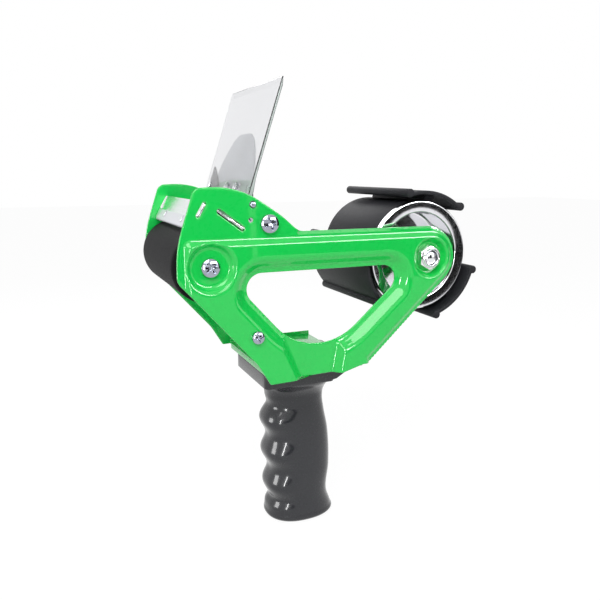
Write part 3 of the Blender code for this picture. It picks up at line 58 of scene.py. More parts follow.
# Frame: the hub's axis, the span to the roller's axis and the two plates
HUB_BACK = 0.067
HUB_HEIGHT = 0.1704
FRAME_SPAN = 0.1335
AXLE_RISE = 0.0015
HALF_GAP = 0.0434
SEAT_GAP = 0.0003
SLOT_GAP = 0.0004
GUIDE_SLOT_GAP = 0.0007

# Relief of the stamped plates
RELIEF_HEAD = 0.003
RELIEF_TOP = 0.005
WINDOW_SLOPE = 0.0095
STEP_SLOPE = 0.0045
FLANGE_WIDTH = 0.0022
PANEL_SLOPE = 0.0065
BAR_TOP = 0.0184
PLATEAU_INSET = 0.0067
DISH_DEPTH = 0.0034
DISH_RADII = (0.0095, 0.0143)
HUB_DISH_DEPTH = 0.005
HUB_DISH_RADII = (0.0088, 0.0122)
SLOPE_PROBE = 0.00005
PLATE_SHEET = 0.0012

# Outlines in shares of the frame's span from the hub's axis: along, up and corner radius
HEAD_SHARES = (
    (-0.762, -0.487, 0.011),
    (-0.820, -0.391, 0.190),
    (-1.131, -0.039, 0.045),
    (-1.131, 0.090, 0.500),
    (-1.056, 0.315, 0.040),
    (-0.884, 0.322, 0.337),
    (-0.705, 0.2045, 0.300),
)
NECK_SHARES = (-0.628, 0.138, 0.075)
HEEL_SHARES = ((-0.290, -0.4524, 0.022), (-0.330, -0.449, 0.040), (-0.430, -0.4765, 0.045))
WINDOW_SHARES = ((-0.9296, -0.024, 0.065), (-0.0653, -0.024, 0.059), (-0.5484, -0.4461, 0.262))
PANEL_SHARES = ((-0.682, -0.300), (-0.449, -0.325), (-0.483, -0.520), (-0.584, -0.520))
PLATEAU_FRONT_SHARE = -1.075
LEG_SHARES = (
    (-0.655, 0.172, 0.070),
    (-0.690, 0.050, 0.150),
    (-0.745, -0.130, 0.200),
    (-0.620, -0.340, 0.300),
    (-0.470, -0.4780, 0.020),
)
UPPER_TIE_SHARES = (-0.760, 0.174)
LOWER_TIE_SHARES = (-0.818, -0.278)
PIN_SHARES = (-0.8247, 0.2494)
SPRING_HOLE_SHARES = (-0.834, 0.1895)
BLADE_SLOT_SHARES = ((-1.0175, 0.2555), (-1.0435, 0.2120))
BLADE_PLATE_SHARES = ((-1.0140, 0.2620), (-1.0670, 0.1620))
GUIDE_SLOT_SHARES = ((-0.9600, 0.2255), (-0.8685, 0.1575))
GUIDE_TAB_SHARES = ((-0.9188, 0.1949), (-0.8685, 0.1575))
GUIDE_PLATE_SHARES = ((-0.9780, 0.2388), (-0.8560, 0.1482))

# Screws: thread radius, head radius, head height, length under the head
AXLE_SCREW = (0.0024, 0.0049, 0.0030, 0.012)
TIE_SCREW = (0.0017, 0.0034, 0.0024, 0.010)
GRIP_SCREW = (0.0024, 0.0048, 0.0030, 0.0157)
HOLE_GAP = 0.0003
RECESS_REACH = 0.66
RECESS_WIDTH = 0.13
RECESS_DEPTH = 0.60
RECESS_EDGE = 0.05
RECESS_FLARE = 1.25
RECESS_NARROWING = 0.35
RECESS_RISE = 0.45
HEAD_ROWS = ((0.03, 0.74, 52), (0.76, 0.985, 8))
HEAD_EDGE_SHARE = 0.13
DOME_DROP = 0.42
DOME_POWER = 2.6
SHANK_NECK = 0.0004
SHANK_TIP = 0.0006
SCREW_TURN = 27
GRIP_SCREW_TURN = 40

# Rods, roller and head fittings
AXLE_RADIUS = 0.005
UPPER_TIE_RADIUS = 0.005
LOWER_TIE_RADIUS = 0.0035
ROLLER_RADIUS = 0.01942
ROLLER_HALF = 0.040
RUBBER_WALL = 0.005
CORE_WEB = 0.008
CORE_SHELL = 0.0025
CORE_BOSS_RADIUS = 0.008
CROSS_SHEET = 0.0012
CROSS_SIDE_GAP = 0.0006
TAB_STANDOUT = 0.0005
BLADE_SHEET = 0.0008
BLADE_REACH = 0.0012
BLADE_BAND = 0.007
BLADE_BEVEL = 0.0028
TOOTH_PITCH = 0.0025
TOOTH_DEPTH = 0.0012
BLADE_RIVET = (0.0015, 0.0019, 0.0002)
SPRING_HOLE_RADIUS = 0.00125
BLADE_GROUND_SHARE = 0.8
RIVET_POWER = 0.6

# Flap and its fittings
FLAP_LEAN = math.radians(18)
FLAP_HEIGHT = 0.0670
FLAP_SHEET = 0.0015
FLAP_FRONT = 0.0032
FLAP_HALF = 0.0426
FLAP_ROOT_HEIGHT = 0.0145
FLAP_ROOT_SHEET = 0.0024
FLAP_CHAMFER = 0.0045
FLAP_KNEE = 0.0035
FLAP_SIDE_LINES = (0.001, 0.003)
FLAP_NOTCH_LINES = (-0.0007, -0.0001, 0.0001, 0.0006)
FLAP_ROOT_LINES = (-0.0004, -0.0003, 0.0012, 0.002)
FLAP_BEVEL_LINES = (-0.0008, -0.0005, 0.0005, 0.001)
FLAP_TOP_LINE = 0.0004
CHAMFER_SHARE = 0.6
FLAP_BARREL_RADIUS = 0.0038
FLAP_BARREL_LOW = -0.00375
PIN_RADIUS = 0.0016
PIN_STANDOUT = 0.0008
HEEL_THICKNESS = 0.0030
HEEL_WIDTH = 0.012
TONGUE_HEIGHT = 0.0395
TONGUE_HALF_WIDTH = 0.034
TONGUE_SHEET = 0.0006
TONGUE_FOOT = 0.005
TONGUE_SHARES = (
    (1.00, 0.00), (0.98, 0.30), (0.90, 0.48), (0.72, 0.72), (0.52, 0.90), (0.30, 1.00)
)
LEAF_SHEET = 0.0006
LEAF_TOP = 0.0205
LEAF_FOOT = 0.0050
LEAF_RIVET_SHIFT = 0.0072
LEAF_WIDTH = 0.026
LEAF_SHARES = (
    (0.00, 0.00), (0.00, 1.00), (0.08, 0.97), (0.30, 0.78), (0.60, 0.45), (0.85, 0.20), (1.00, 0.00)
)
FLAP_RIVET = (0.0015, 0.0026, 0.0009)
SPRING_WIRE = 0.0009
SPRING_COIL_RADIUS = 0.00275
SPRING_TURNS = 5
SPRING_PITCH = 0.0011
SPRING_POCKET = 0.0085
SPRING_POCKET_RADIUS = 0.0044
SPRING_LEG = 0.008
SPRING_INSET = 0.0008
SPRING_ENTRY_GAP = 0.0001

# Hub: places across the frame are measured from the middle, near side negative
CUP_NEAR = -0.034
CUP_DEPTH = 0.020
CUP_SHEET = 0.001
CUP_DISHING = 0.0005
CUP_LIP_BEND = 0.0009
CUP_RING_BEND = 0.0008
CUP_FLOOR_BEND = 0.0015
CUP_UNDER_BEND = 0.0014
CUP_THROAT_BEND = 0.0012
CUP_RADIUS = 0.027
LIP_RADIUS = 0.033
LIP_DEPTH = 0.0035
DRUM_RADIUS = 0.0327
DRUM_LENGTH = 0.064
DRUM_WALL = 0.003
DRUM_WEB = 0.003
DRUM_OVERLAP = 0.0006
SLEEVE_RADIUS = 0.007
PAD_RADIUS = 0.039
PAD_SHEET = 0.0021
PAD_HALF_ANGLE = math.radians(28.5)
PAD_BEAD_RADIUS = 0.0025
PAD_ANGLES = (math.radians(76.5), math.radians(195), math.radians(-44))
PAD_NEAR_REACH = 0.005
PAD_FAR_REACH = 0.008
PAD_STEM_WIDTH = 0.006
PAD_STEM_INSET = 0.0025
PAD_KEY_DEPTH = 0.0017
BOLT_RADIUS = 0.004
BOLT_HEAD_HEIGHT = 0.0053
BOLT_INSET = 0.0006
BOLT_TIP = ((0.0012, 0.0), (0.0007, 0.0004))
BOLT_FACE_SHARE = 0.95
BOLT_UNDER_BREAK = 0.0003
BOLT_TOP_BREAK = 0.0006
HEX_ACROSS = 0.013
HEX_FLAT = HEX_ACROSS / 2
HEX_REACH = HEX_ACROSS / math.sqrt(3)
NUT_HEIGHT = 0.0055
NUT_HEX_SHARE = 0.74
NUT_COLLAR_RADIUS = 0.0054
NUT_FACE_SHARE = 0.96
NUT_SHOULDER_SHARE = 0.97
NUT_SHOULDER_RISE = 1.3
NUT_BREAK = 0.0003
NUT_ROLL = ((0.0, 0.0007), (0.0003, 0.0002), (0.0008, 0.0))
NUT_THROAT = ((0.0006, 0.0), (0.0002, 0.0002), (0.0, 0.0007))
THREAD_PITCH = 0.00125
THREAD_DEPTH = 0.0004
THREAD_RUN = 0.014
THREAD_START = 0.0008
THREAD_GUARD = 0.0005
WASHER_RADIUS = 0.009
WASHER_SHEET = 0.0015
BRAKE_RADIUS = 0.014
BRAKE_SPRING_RADIUS = 0.0070
BRAKE_SPRING_WIRE = 0.0016
BRAKE_SPRING_TURNS = 5
BRAKE_SPRING_LENGTH = 0.0150

# Saddle and grip
SADDLE_FRONT = -0.0315
SADDLE_BACK = 0.0260
SADDLE_TOP = 0.1082
SADDLE_FLANGE = 0.0025
SADDLE_LIP = 0.0025
BLOCK_BACK = 0.030
BLOCK_HALF_WIDTH = 0.0275
BLOCK_BOTTOM = 0.0954
BLOCK_CORNER = 0.003
BLOCK_TAPER_START = 0.0125
BLOCK_TAPER_RISE = 0.0105
BLOCK_INSET = 0.0006
BLOCK_LAP = 0.0015
BLOCK_STEP = 0.0012
BLOCK_SIDE_STEP = 0.0003
GRIP_SCREWS = (("grip_screw_front", -0.012), ("grip_screw_back", 0.012))

# Finger waves: where they fade out below and above, and over which turn they press the front and the sides
WAVE_FADE = (0.004, 0.003)
RIDGE_FADE = (0.35, 0.75)
WAVE_FRONT = (0.0, 0.75)
WAVE_SIDES = (0.05, 0.5)
GRIP_FOOT_ROUND = 0.0015

# Grip sections: height share, front and back reach shares, half-width share and squareness
GRIP_SECTION_SHARES = (
    (0.000, 0.91, 0.98, 0.93, 2.3),
    (0.022, 1.00, 1.08, 1.02, 2.3),
    (0.060, 0.99, 1.03, 1.00, 2.4),
    (0.140, 0.95, 0.90, 0.96, 2.5),
    (0.360, 0.98, 0.95, 0.98, 2.6),
    (0.500, 1.00, 0.94, 0.98, 2.6),
    (0.620, 1.03, 0.89, 0.96, 2.6),
    (0.760, 1.02, 0.77, 0.92, 2.5),
    (0.845, 0.96, 0.73, 0.91, 2.4),
    (0.895, 0.98, 0.75, 0.95, 2.4),
    (0.940, 1.03, 0.79, 1.10, 2.6),
    (0.975, 1.16, 0.80, 1.28, 3.0),
    (1.000, 1.22, 0.79, 1.36, 3.4),
)

# Rounded rims of sheets and mouldings
BLADE_EDGE = 0.00006
TONGUE_EDGE = 0.0001
LEAF_EDGE = 0.00015
SHEET_EDGE = 0.0002
RIM_EDGE = 0.0003
FLAP_EDGE = 0.00035
MOULD_EDGE = 0.0004
PAD_EDGE = 0.00045
HEEL_EDGE = 0.0005
BLOCK_EDGE = 0.0006
RUBBER_EDGE = 0.0009
CHAMFER = 0.0004
SADDLE_BEND = 0.002
LIP_BEND = 0.0006
LEAF_BEND = 0.0006
SADDLE_INNER_BEND = 0.0009
TONGUE_BEND = 0.008
TONGUE_CORNER = 0.0008

# Fineness of the surfaces: steps of arcs, pairs of spacing and rim step, and columns round a turn
ARC_STEP = math.radians(6)
FINE_STEP = math.radians(2.5)
CUP_STEP = math.radians(11)
SADDLE_STEP = math.radians(12)
BEND_STEP = math.radians(15)
HEAD_STEP = math.radians(20)
WASHER_STEP = math.radians(22.5)
ROUGH_STEP = math.radians(30)
SHARP_ANGLE = math.radians(50)
PLATE_RIM_STEP = 0.0008
NUT_RUN = 0.0003
CUP_RUN = 0.0025
RUBBER_STEP = 0.004
BLADE_POINTS = (0.0016, 0.0013)
LEAF_POINTS = (0.002, 0.002)
TAPER_POINTS = (0.003, 0.002)
PAD_POINTS = (0.004, 0.0025)
DRUM_POINTS = (0.004, 0.003)
CROSS_POINTS = (0.004, 0.004)
BLOCK_POINTS = (0.005, 0.004)
SADDLE_POINTS = (0.005, 0.005)
COARSE_POINTS = (0.020, 0.010)
CLEAR_SHARE = 0.55
NEARLY_STRAIGHT = 0.001
STEP_SLACK = 0.001
MITRE_LIMIT = 0.5
WEAK_CROSS = 0.05
NO_LENGTH = 1e-12
NEARLY_HALF = 0.49
MERGE_REACH = 1e-8
RIM_ROWS = 4
GRIP_ROWS = 300
GRIP_COLUMNS = 180
WIRE_COLUMNS = 14
SMALL_HOLE_COLUMNS = 24
SLIM_HOLE_COLUMNS = 28
WIDE_HOLE_COLUMNS = 32
PIN_COLUMNS = 40
ROD_COLUMNS = 48
FIXING_COLUMNS = 72
TURN_COLUMNS = 96
NUT_COLUMNS = 120
DRUM_COLUMNS = 128
BORE_COLUMNS = 144
CUP_COLUMNS = 160
SCREW_COLUMNS = 288

# Studio: places in metres, lamps aimed at the middle; the shines' last number is their share of the power
MIDDLE = (0.0, 0.0, 0.15)
CAMERA_PLACE = (-0.15308, -0.36042, 0.22063)
CAMERA_AIM = (0.3886, 0.9001, -0.1974)
SENSOR_WIDTH = 36
LENS = 38.4
CLIP_START = 0.01
FLOOR_WIDTH = 8.0
FLOOR_GLOW = 1.08
FLOOR_GLOW_SHARE = 0.85
CARD_COLOUR = (0.01, 0.01, 0.01)
SOFTBOXES = (
    ("key_softbox", (-0.35, -0.55, 0.75), 0.62, 0.42),
    ("fill_softbox", (0.65, -0.60, 0.35), 0.30, 0.50),
    ("rim_strip", (0.10, 0.70, 0.60), 0.60, 0.15),
)
SHINES = (
    ("crest_strip", (0.42, -0.72, 0.55), 0.70, 0.18, 3.2),
    ("edge_strip", (-0.50, -0.74, 0.14), 0.06, 0.45, 1.4),
    ("side_softbox", (-0.60, -0.02, 0.17), 0.24, 0.26, 0.9),
)
CARDS = (
    ("dark_card_low", (-0.15, -0.95, 0.02), 0.9, 0.35),
    ("dark_card_front", (0.62, -0.85, 0.24), 0.75, 0.55),
    ("dark_card_right", (0.75, -0.15, 0.25), 0.5, 0.7),
)

ACROSS = np.array((0.0, 1.0, 0.0))
ALONG = np.array((1.0, 0.0, 0.0))
UPWARD = np.array((0.0, 0.0, 1.0))


def plain_property(name, description, default, **more):
    return FloatProperty(name=name, description=description, default=default, min=0.0, **more)


def length_property(name, description, default):
    return plain_property(name, description, default, unit="LENGTH", precision=5)


def share_property(name, description, default):
    return plain_property(name, description, default, max=1.0, subtype="FACTOR")


def colour_property(name, description, default):
    return FloatVectorProperty(
        name=name, description=description, default=default, min=0.0, max=1.0, subtype="COLOR"
    )


class PlateSizes(PropertyGroup):
    """Sizes of the stamped plates that a user would change."""

    sheet: length_property("Sheet", "Thickness of the plates' steel", PLATE_SHEET)
    edge_round: length_property("Edge round", "Radius of each edge under its paint", 0.00048)
    fillet_share: share_property("Fillet", "Share of each slope that is fillet at each end", 0.42)
    spacing: length_property("Spacing", "Distance between points of the relief", 0.0008)


class GripSizes(PropertyGroup):
    """Sizes of the pistol grip that a user would change."""

    half_width: length_property("Half width", "Half of the grip's width", 0.0175)
    half_depth: length_property("Half depth", "Half of the grip's depth from front to back", 0.0215)
    finger_top: length_property("Top ridge", "Height of the ridge over the first finger", 0.0670)
    finger_pitch: length_property("Finger pitch", "Distance from one ridge to the next", 0.0219)
    finger_wave: length_property("Finger wave", "Half of the depth of each groove", 0.0018)
    wave_low: length_property("Wave end", "Height where the last groove ends", 0.012)


class FinishColours(PropertyGroup):
    """Colours of the finishes that a user would change."""

    enamel: colour_property("Enamel", "Paint on the steel frame", (0.008, 0.640, 0.088))
    grip: colour_property("Grip", "Moulding of the grip", (0.026, 0.027, 0.032))
    hub: colour_property("Hub", "Moulding of the drum and its pads", (0.024, 0.024, 0.028))
    rubber: colour_property("Rubber", "Sleeve of the roller", (0.008, 0.008, 0.009))
    core: colour_property("Core", "Moulding inside the roller", (0.020, 0.020, 0.022))
    plating: colour_property("Plating", "Bright plated steel", (0.80, 0.80, 0.83))
    screws: colour_property("Screws", "Zinc of the screws", (0.36, 0.38, 0.45))
    steel: colour_property("Steel", "Satin steel", (0.62, 0.62, 0.66))
    clear: colour_property("Clear", "Clear moulding of the flap", (0.79, 0.795, 0.815))
    edge: colour_property("Edge", "Cut edge of the flap", (0.66, 0.74, 0.71))
    milky: colour_property("Milky", "Milky sheet of the tongue", (0.80, 0.82, 0.84))
    leaf: colour_property("Leaf", "Dark spring steel of the flap's corner", (0.035, 0.035, 0.04))
    felt: colour_property("Felt", "Friction washer", (0.12, 0.10, 0.08))
    floor: colour_property("Floor", "Floor and backdrop", (0.90, 0.90, 0.90))


class StudioSettings(PropertyGroup):
    """Strengths of the studio's lights."""

    key: plain_property("Key", "Power of the key softbox", 4.6, unit="POWER")
    fill: plain_property("Fill", "Power of the fill softbox", 0.9, unit="POWER")
    rim: plain_property("Rim", "Power of the strip behind", 1.0, unit="POWER")
    shine: plain_property("Shine", "Power of the strips that only gloss shows", 2.4, unit="POWER")
    world: plain_property("World", "Strength of the surroundings' light", 0.42)
    white: plain_property("White", "Level of the backdrop that the camera and bright metal see", 1.0)


def frame_point(shares):
    """A place in the side view from shares of the frame's span, counted from the hub's axis."""
    return np.array((HUB_BACK + shares[0] * FRAME_SPAN, HUB_HEIGHT + shares[1] * FRAME_SPAN))


def frame_corner(shares):
    return (*frame_point(shares), shares[2] * FRAME_SPAN)


def frame_corners(rows):
    return [frame_corner(shares) for shares in rows]


HUB = np.array((HUB_BACK, HUB_HEIGHT))
AXLE = np.array((HUB_BACK - FRAME_SPAN, HUB_HEIGHT + AXLE_RISE))
HUB_PLATE_INSIDE = HALF_GAP + RELIEF_TOP - HUB_DISH_DEPTH - RELIEF_HEAD
DISH_INSIDE = HALF_GAP + RELIEF_TOP - DISH_DEPTH - RELIEF_HEAD
LEG_INSIDE = HALF_GAP + RELIEF_TOP - RELIEF_HEAD
PANEL_INSIDE = HALF_GAP - RELIEF_HEAD
AXLE_DISH = (AXLE, DISH_RADII, DISH_DEPTH)
HUB_DISH = (HUB, HUB_DISH_RADII, HUB_DISH_DEPTH)


# Curves in a plane


def unit(vector):
    return vector / np.linalg.norm(vector)


def arc(centre, radius, start, sweep, step=ARC_STEP):
    """Centre plus radius times (cos, sin) of evenly spaced angles, both ends included."""
    angles = start + sweep * np.linspace(0, 1, max(3, math.ceil(abs(sweep) / step) + 1))
    return np.stack([centre[0] + radius * np.cos(angles), centre[1] + radius * np.sin(angles)], 1)


def circle(centre, radius, columns=TURN_COLUMNS):
    """Centre plus radius times (cos, sin) of one whole turn, its end left out."""
    return arc(centre, radius, 0, 2 * math.pi, 2 * math.pi / columns)[:-1]


def corner_arc(before, corner, after, radius, step=ARC_STEP):
    """The arc tangent to both sides of a corner, its centre on the bisector at radius / sin(half angle)."""
    here = np.array(corner[:2], float)
    back, ahead = unit(np.array(before[:2]) - here), unit(np.array(after[:2]) - here)
    half = math.acos(float(np.clip(back @ ahead, -1, 1))) / 2
    if radius <= 0 or half > math.pi / 2 - NEARLY_STRAIGHT:
        return here[None]
    centre = here + unit(back + ahead) * radius / math.sin(half)
    start = here + back * radius / math.tan(half) - centre
    end = here + ahead * radius / math.tan(half) - centre
    first = math.atan2(start[1], start[0])
    sweep = (math.atan2(end[1], end[0]) - first + math.pi) % (2 * math.pi) - math.pi
    return arc(centre, radius, first, sweep, step)


def rounded(corners, step=ARC_STEP):
    """A closed outline through (along, up, radius) corners, each cut by its tangent arc."""
    after = [*corners[1:], corners[0]]
    return np.vstack([
        corner_arc(corners[k - 1], corner, after[k], corner[2], step) for k, corner in enumerate(corners)
    ])


def rounded_run(corners, step=ARC_STEP):
    """An open line through corners, each but its two ends cut by its tangent arc."""
    inner = [
        corner_arc(corners[k - 1], corners[k], corners[k + 1], corners[k][2], step)
        for k in range(1, len(corners) - 1)
    ]
    return np.vstack([[corners[0][:2]], *inner, [corners[-1][:2]]])


def capsule(first, second, half_width):
    """The outline of a round-ended slot: half a turn about each centre."""
    along = math.atan2(second[1] - first[1], second[0] - first[0])
    quarter = math.pi / 2
    return np.vstack(
        [arc(second, half_width, along - quarter, math.pi), arc(first, half_width, along + quarter, math.pi)]
    )


def divided(line, step, closed=True):
    """The line with each run split into equal steps no longer than the given one."""
    line = np.asarray(line, float)
    ends = np.roll(line, -1, axis=0) if closed else line[1:]
    starts = line if closed else line[:-1]
    counts = np.maximum(1, np.ceil(np.linalg.norm(ends - starts, axis=1) / step - STEP_SLACK)).astype(int)
    index = np.repeat(np.arange(len(starts)), counts)
    share = (np.arange(counts.sum()) - np.repeat(np.cumsum(counts) - counts, counts)) / counts[index]
    points = starts[index] + (ends - starts)[index] * share[:, None]
    return points if closed else np.vstack([points, line[-1:]])


def signed_area(line):
    after = np.roll(line, -1, axis=0)
    return float((line[:, 0] * after[:, 1] - after[:, 0] * line[:, 1]).sum() / 2)


def shifted(line, inward):
    """A closed line moved along its corners' bisectors, towards its inside where positive."""
    before, after = unit_rows(line - np.roll(line, 1, axis=0)), unit_rows(np.roll(line, -1, axis=0) - line)
    turn = 1 if signed_area(line) > 0 else -1
    normals = [np.stack([-run[:, 1], run[:, 0]], 1) * turn for run in (before, after)]
    bisector = unit_rows(normals[0] + normals[1])
    stretch = np.maximum((bisector * normals[1]).sum(1), MITRE_LIMIT)
    return line + bisector * (inward / stretch)[:, None]


def unit_rows(rows):
    return rows / np.maximum(np.linalg.norm(rows, axis=1), NO_LENGTH)[:, None]


def shifted_run(line, rightward):
    """An open line moved to the right of its own direction."""
    line = np.asarray(line, float)
    runs = unit_rows(np.diff(line, axis=0))
    normals = np.stack([runs[:, 1], -runs[:, 0]], 1)
    joined = unit_rows(np.vstack([normals[:1], normals[:-1] + normals[1:], normals[-1:]]))
    return line + joined * rightward


def inside(points, outline):
    """True for each point within the closed outline, by counting crossings."""
    within = np.zeros(len(points), bool)
    for (ax, az), (bx, bz) in zip(np.roll(outline, 1, axis=0), outline):
        if az != bz:
            crosses = (az > points[:, 1]) != (bz > points[:, 1])
            within ^= crosses & (points[:, 0] < ax + (points[:, 1] - az) * (bx - ax) / (bz - az))
    return within


def distance(points, line, closed=True):
    """Each point's distance to the nearest run of the line."""
    line = np.asarray(line, float)
    starts, ends = (np.roll(line, 1, axis=0), line) if closed else (line[:-1], line[1:])
    nearest = np.full(len(points), np.inf)
    for start, run in zip(starts, ends - starts):
        share = np.clip((points - start) @ run / max(run @ run, NO_LENGTH**2), 0, 1)
        nearest = np.minimum(nearest, np.linalg.norm(points - start - share[:, None] * run, axis=1))
    return nearest


def ramp(value, width, fillet):
    """Zero at no distance and one past the width: a straight slope with a parabola at each end."""
    t = np.clip(value / width, 0, 1)
    steep = 1 / (1 - fillet)
    middle = steep * (t - fillet / 2)
    upper = 1 - steep * (1 - t) ** 2 / (2 * fillet)
    return np.where(t < fillet, steep * t * t / (2 * fillet), np.where(t > 1 - fillet, upper, middle))


def smooth_step(value, low, high):
    """Three t squared less two t cubed, with t the value's share between low and high."""
    t = np.clip((value - low) / (high - low), 0, 1)
    return t * t * (3 - 2 * t)


# Surfaces: a surface is (points, list of face arrays)


def plane(origin, u, v, w):
    """Origin and three directions: a place (u, v, w) is the origin plus each number times its direction."""
    return tuple(np.asarray(item, float) for item in (origin, u, v, w))


def side_plane(centre, turn=1):
    """Side view about a centre: u runs along the frame, v up, and w across it, far side positive."""
    return plane((centre[0], 0, centre[1]), ALONG, UPWARD, ACROSS * turn)


def cross_plane(start, end):
    """Plane of a plate from side to side: u across the frame, v from start to end, w along its normal."""
    along = unit(np.array((end[0] - start[0], 0, end[1] - start[1])))
    return plane((start[0], 0, start[1]), ACROSS, along, np.cross(along, ACROSS))


def on_plane(where, u, v, w=0):
    origin, across, along, normal = where
    return plane(origin + across * u + along * v + normal * w, across, along, normal)


def placed(points, where):
    origin, u, v, w = where
    return origin + points[..., 0:1] * u + points[..., 1:2] * v + points[..., 2:3] * w


def grid_faces(rows, columns, closed_rows, closed_columns):
    """Quads between neighbours of a grid, wrapped where closed."""
    r = np.arange(rows if closed_rows else rows - 1)[:, None]
    c = np.arange(columns if closed_columns else columns - 1)[None]
    after_r, after_c = (r + 1) % rows, (c + 1) % columns
    quads = np.stack(
        [r * columns + c, r * columns + after_c, after_r * columns + after_c, after_r * columns + c], -1
    )
    return quads.reshape(-1, 4)


def outward(surface):
    """The surface with its faces turned round if its signed volume is negative."""
    points, faces = surface
    volume = 0.0
    for block in faces:
        for k in range(1, block.shape[1] - 1):
            a, b, c = (points[block[:, i]] for i in (0, k, k + 1))
            volume += float(np.einsum("ij,ij->", a, np.cross(b, c)))
    return (points, faces if volume > 0 else [block[:, ::-1] for block in faces])


def joined(*surfaces):
    """Several surfaces as one, their face numbers moved up in turn."""
    points, faces, first = [], [], 0
    for surface in surfaces:
        points.append(surface[0])
        faces += [block + first for block in surface[1]]
        first += len(surface[0])
    return np.vstack(points), faces


def skin(grid, poles=(None, None), closed_rows=False):
    """Rows of rings joined into a closed skin, each open end fanned to its pole."""
    rows, columns = grid.shape[:2]
    points = [grid.reshape(-1, 3)]
    faces = [grid_faces(rows, columns, closed_rows, True)]
    ring = np.arange(columns)
    total = rows * columns
    for pole, base in zip(poles, (0, (rows - 1) * columns)):
        if pole is None:
            continue
        points.append(np.asarray(pole, float).reshape(1, 3))
        fan = np.stack([np.full(columns, total), base + (ring + 1) % columns, base + ring], 1)
        faces.append(fan if base == 0 else fan[:, ::-1])
        total += 1
    return outward((np.vstack(points), faces))


def turned(profile, where, columns=TURN_COLUMNS, closed=False, radius=None):
    """A (radius, across) profile turned about the plane's w direction; ends on the axis become poles.

    Where a radius function is given, it takes the radii and angles and gives the true radii."""
    profile = np.asarray(profile, float)
    poles = [None, None]
    if not closed:
        poles = [placed(np.array((0, 0, end[1])), where) for end in (profile[0], profile[-1])]
        profile = profile[1:-1]
    angles = np.linspace(0, 2 * math.pi, columns, endpoint=False)
    radii = np.repeat(profile[:, :1], columns, axis=1)
    if radius is not None:
        radii = radius(radii, angles[None], profile[:, 1:2])
    across = np.repeat(profile[:, 1:2], columns, axis=1)
    grid = np.stack([radii * np.cos(angles), radii * np.sin(angles), across], -1)
    return skin(placed(grid, where), poles, closed)


def tube(path, radius, columns=WIRE_COLUMNS):
    """A ring of the given radius carried along the path, square to it, with a pole at each end."""
    path = np.asarray(path, float)
    runs = unit_rows(np.gradient(path, axis=0))
    first = np.cross(runs, ACROSS)
    weak = np.linalg.norm(first, axis=1) < WEAK_CROSS
    first[weak] = np.cross(runs[weak], UPWARD)
    first = unit_rows(first)
    second = np.cross(runs, first)
    angles = np.linspace(0, 2 * math.pi, columns, endpoint=False)
    ring = first[:, None] * np.cos(angles)[:, None] + second[:, None] * np.sin(angles)[:, None]
    return skin(path[:, None] + ring * radius, (path[0], path[-1]))


def slab(flat, faces, high, low, where):
    """Two skins over the same flat points, one at each height, joined by a wall round every edge."""
    used, index = np.unique(faces, return_inverse=True)
    faces = index.reshape(faces.shape)
    flat, high, low = flat[used], high[used], low[used]
    count = len(flat)
    points = np.vstack([np.column_stack([flat, high]), np.column_stack([flat, low])])
    edges = np.concatenate([faces[:, [k, (k + 1) % faces.shape[1]]] for k in range(faces.shape[1])])
    _, first, times = np.unique(np.sort(edges, axis=1), axis=0, return_index=True, return_counts=True)
    rim = edges[first[times == 1]]
    wall = np.column_stack([rim[:, 1], rim[:, 0], rim[:, 0] + count, rim[:, 1] + count])
    return outward((placed(points, where), [faces, faces[:, ::-1] + count, wall]))


def rim_drop(depth, radius):
    """How far a rounded edge lies below the face: radius less the height of a quarter circle."""
    share = 1 - np.clip(depth / radius, 0, 1)
    return radius * (1 - np.sqrt(1 - share * share))


def sheet(outline, holes, high, low, where, edge, fineness):
    """A plate between two height functions, with rounded rims.

    Rows of points follow each edge at radius * (1 - cos) from it, a staggered grid fills the
    rest, and triangles join them. The heights are functions of the flat points. Fineness is the
    grid's spacing and the step along the rims."""
    spacing, rim_step = fineness
    loops = [divided(loop, rim_step) for loop in (outline, *holes)]
    depths = edge * (1 - np.cos(np.linspace(0, math.pi / 2, RIM_ROWS)))
    points, depth, edges, first = [], [], [], 0
    for k, loop in enumerate(loops):
        for inset in depths:
            row = shifted(loop, inset if k == 0 else -inset)
            index = first + np.arange(len(row))
            edges.append(np.column_stack([index, np.roll(index, -1)]))
            points.append(row)
            depth.append(np.full(len(row), inset))
            first += len(row)

    def within(places):
        pierced = [inside(places, hole) for hole in loops[1:]] or [False]
        return inside(places, loops[0]) & ~np.any(pierced, axis=0)

    flat = np.vstack(points)
    lowest, highest = flat.min(axis=0), flat.max(axis=0)
    rows = np.arange(lowest[1], highest[1], spacing * math.sqrt(3) / 2)
    along, up = np.meshgrid(np.arange(lowest[0], highest[0], spacing), rows)
    along = along + (np.arange(len(rows)) % 2)[:, None] * spacing / 2
    grid = np.column_stack([along.ravel(), up.ravel()])
    grid = grid[within(grid)]
    clear = np.ones(len(grid), bool)
    for loop in loops:
        squares = (grid**2).sum(1)[:, None] + (loop**2).sum(1)[None] - 2 * grid @ loop.T
        clear &= squares.min(axis=1) > (edge + spacing * CLEAR_SHARE) ** 2
    flat = np.vstack([flat, grid[clear]])
    depth = np.concatenate([*depth, np.full(clear.sum(), edge)])
    made = delaunay_2d_cdt([Vector(p) for p in flat.tolist()], np.vstack(edges).tolist(), [], 0, MERGE_REACH)
    if len(made[0]) != len(flat):
        raise RuntimeError(f"a sheet's rim rows meet: {len(flat)} points became {len(made[0])}")
    faces = np.array(made[2])
    faces = faces[within(flat[faces].mean(axis=1))]
    top, bottom = high(flat), low(flat)
    drop = np.minimum(rim_drop(depth, edge), (top - bottom) * NEARLY_HALF)
    return slab(flat, faces, top - drop, bottom + drop, where)


def level(value):
    """A height function that is the same everywhere."""
    return lambda flat: np.full(len(flat), float(value))


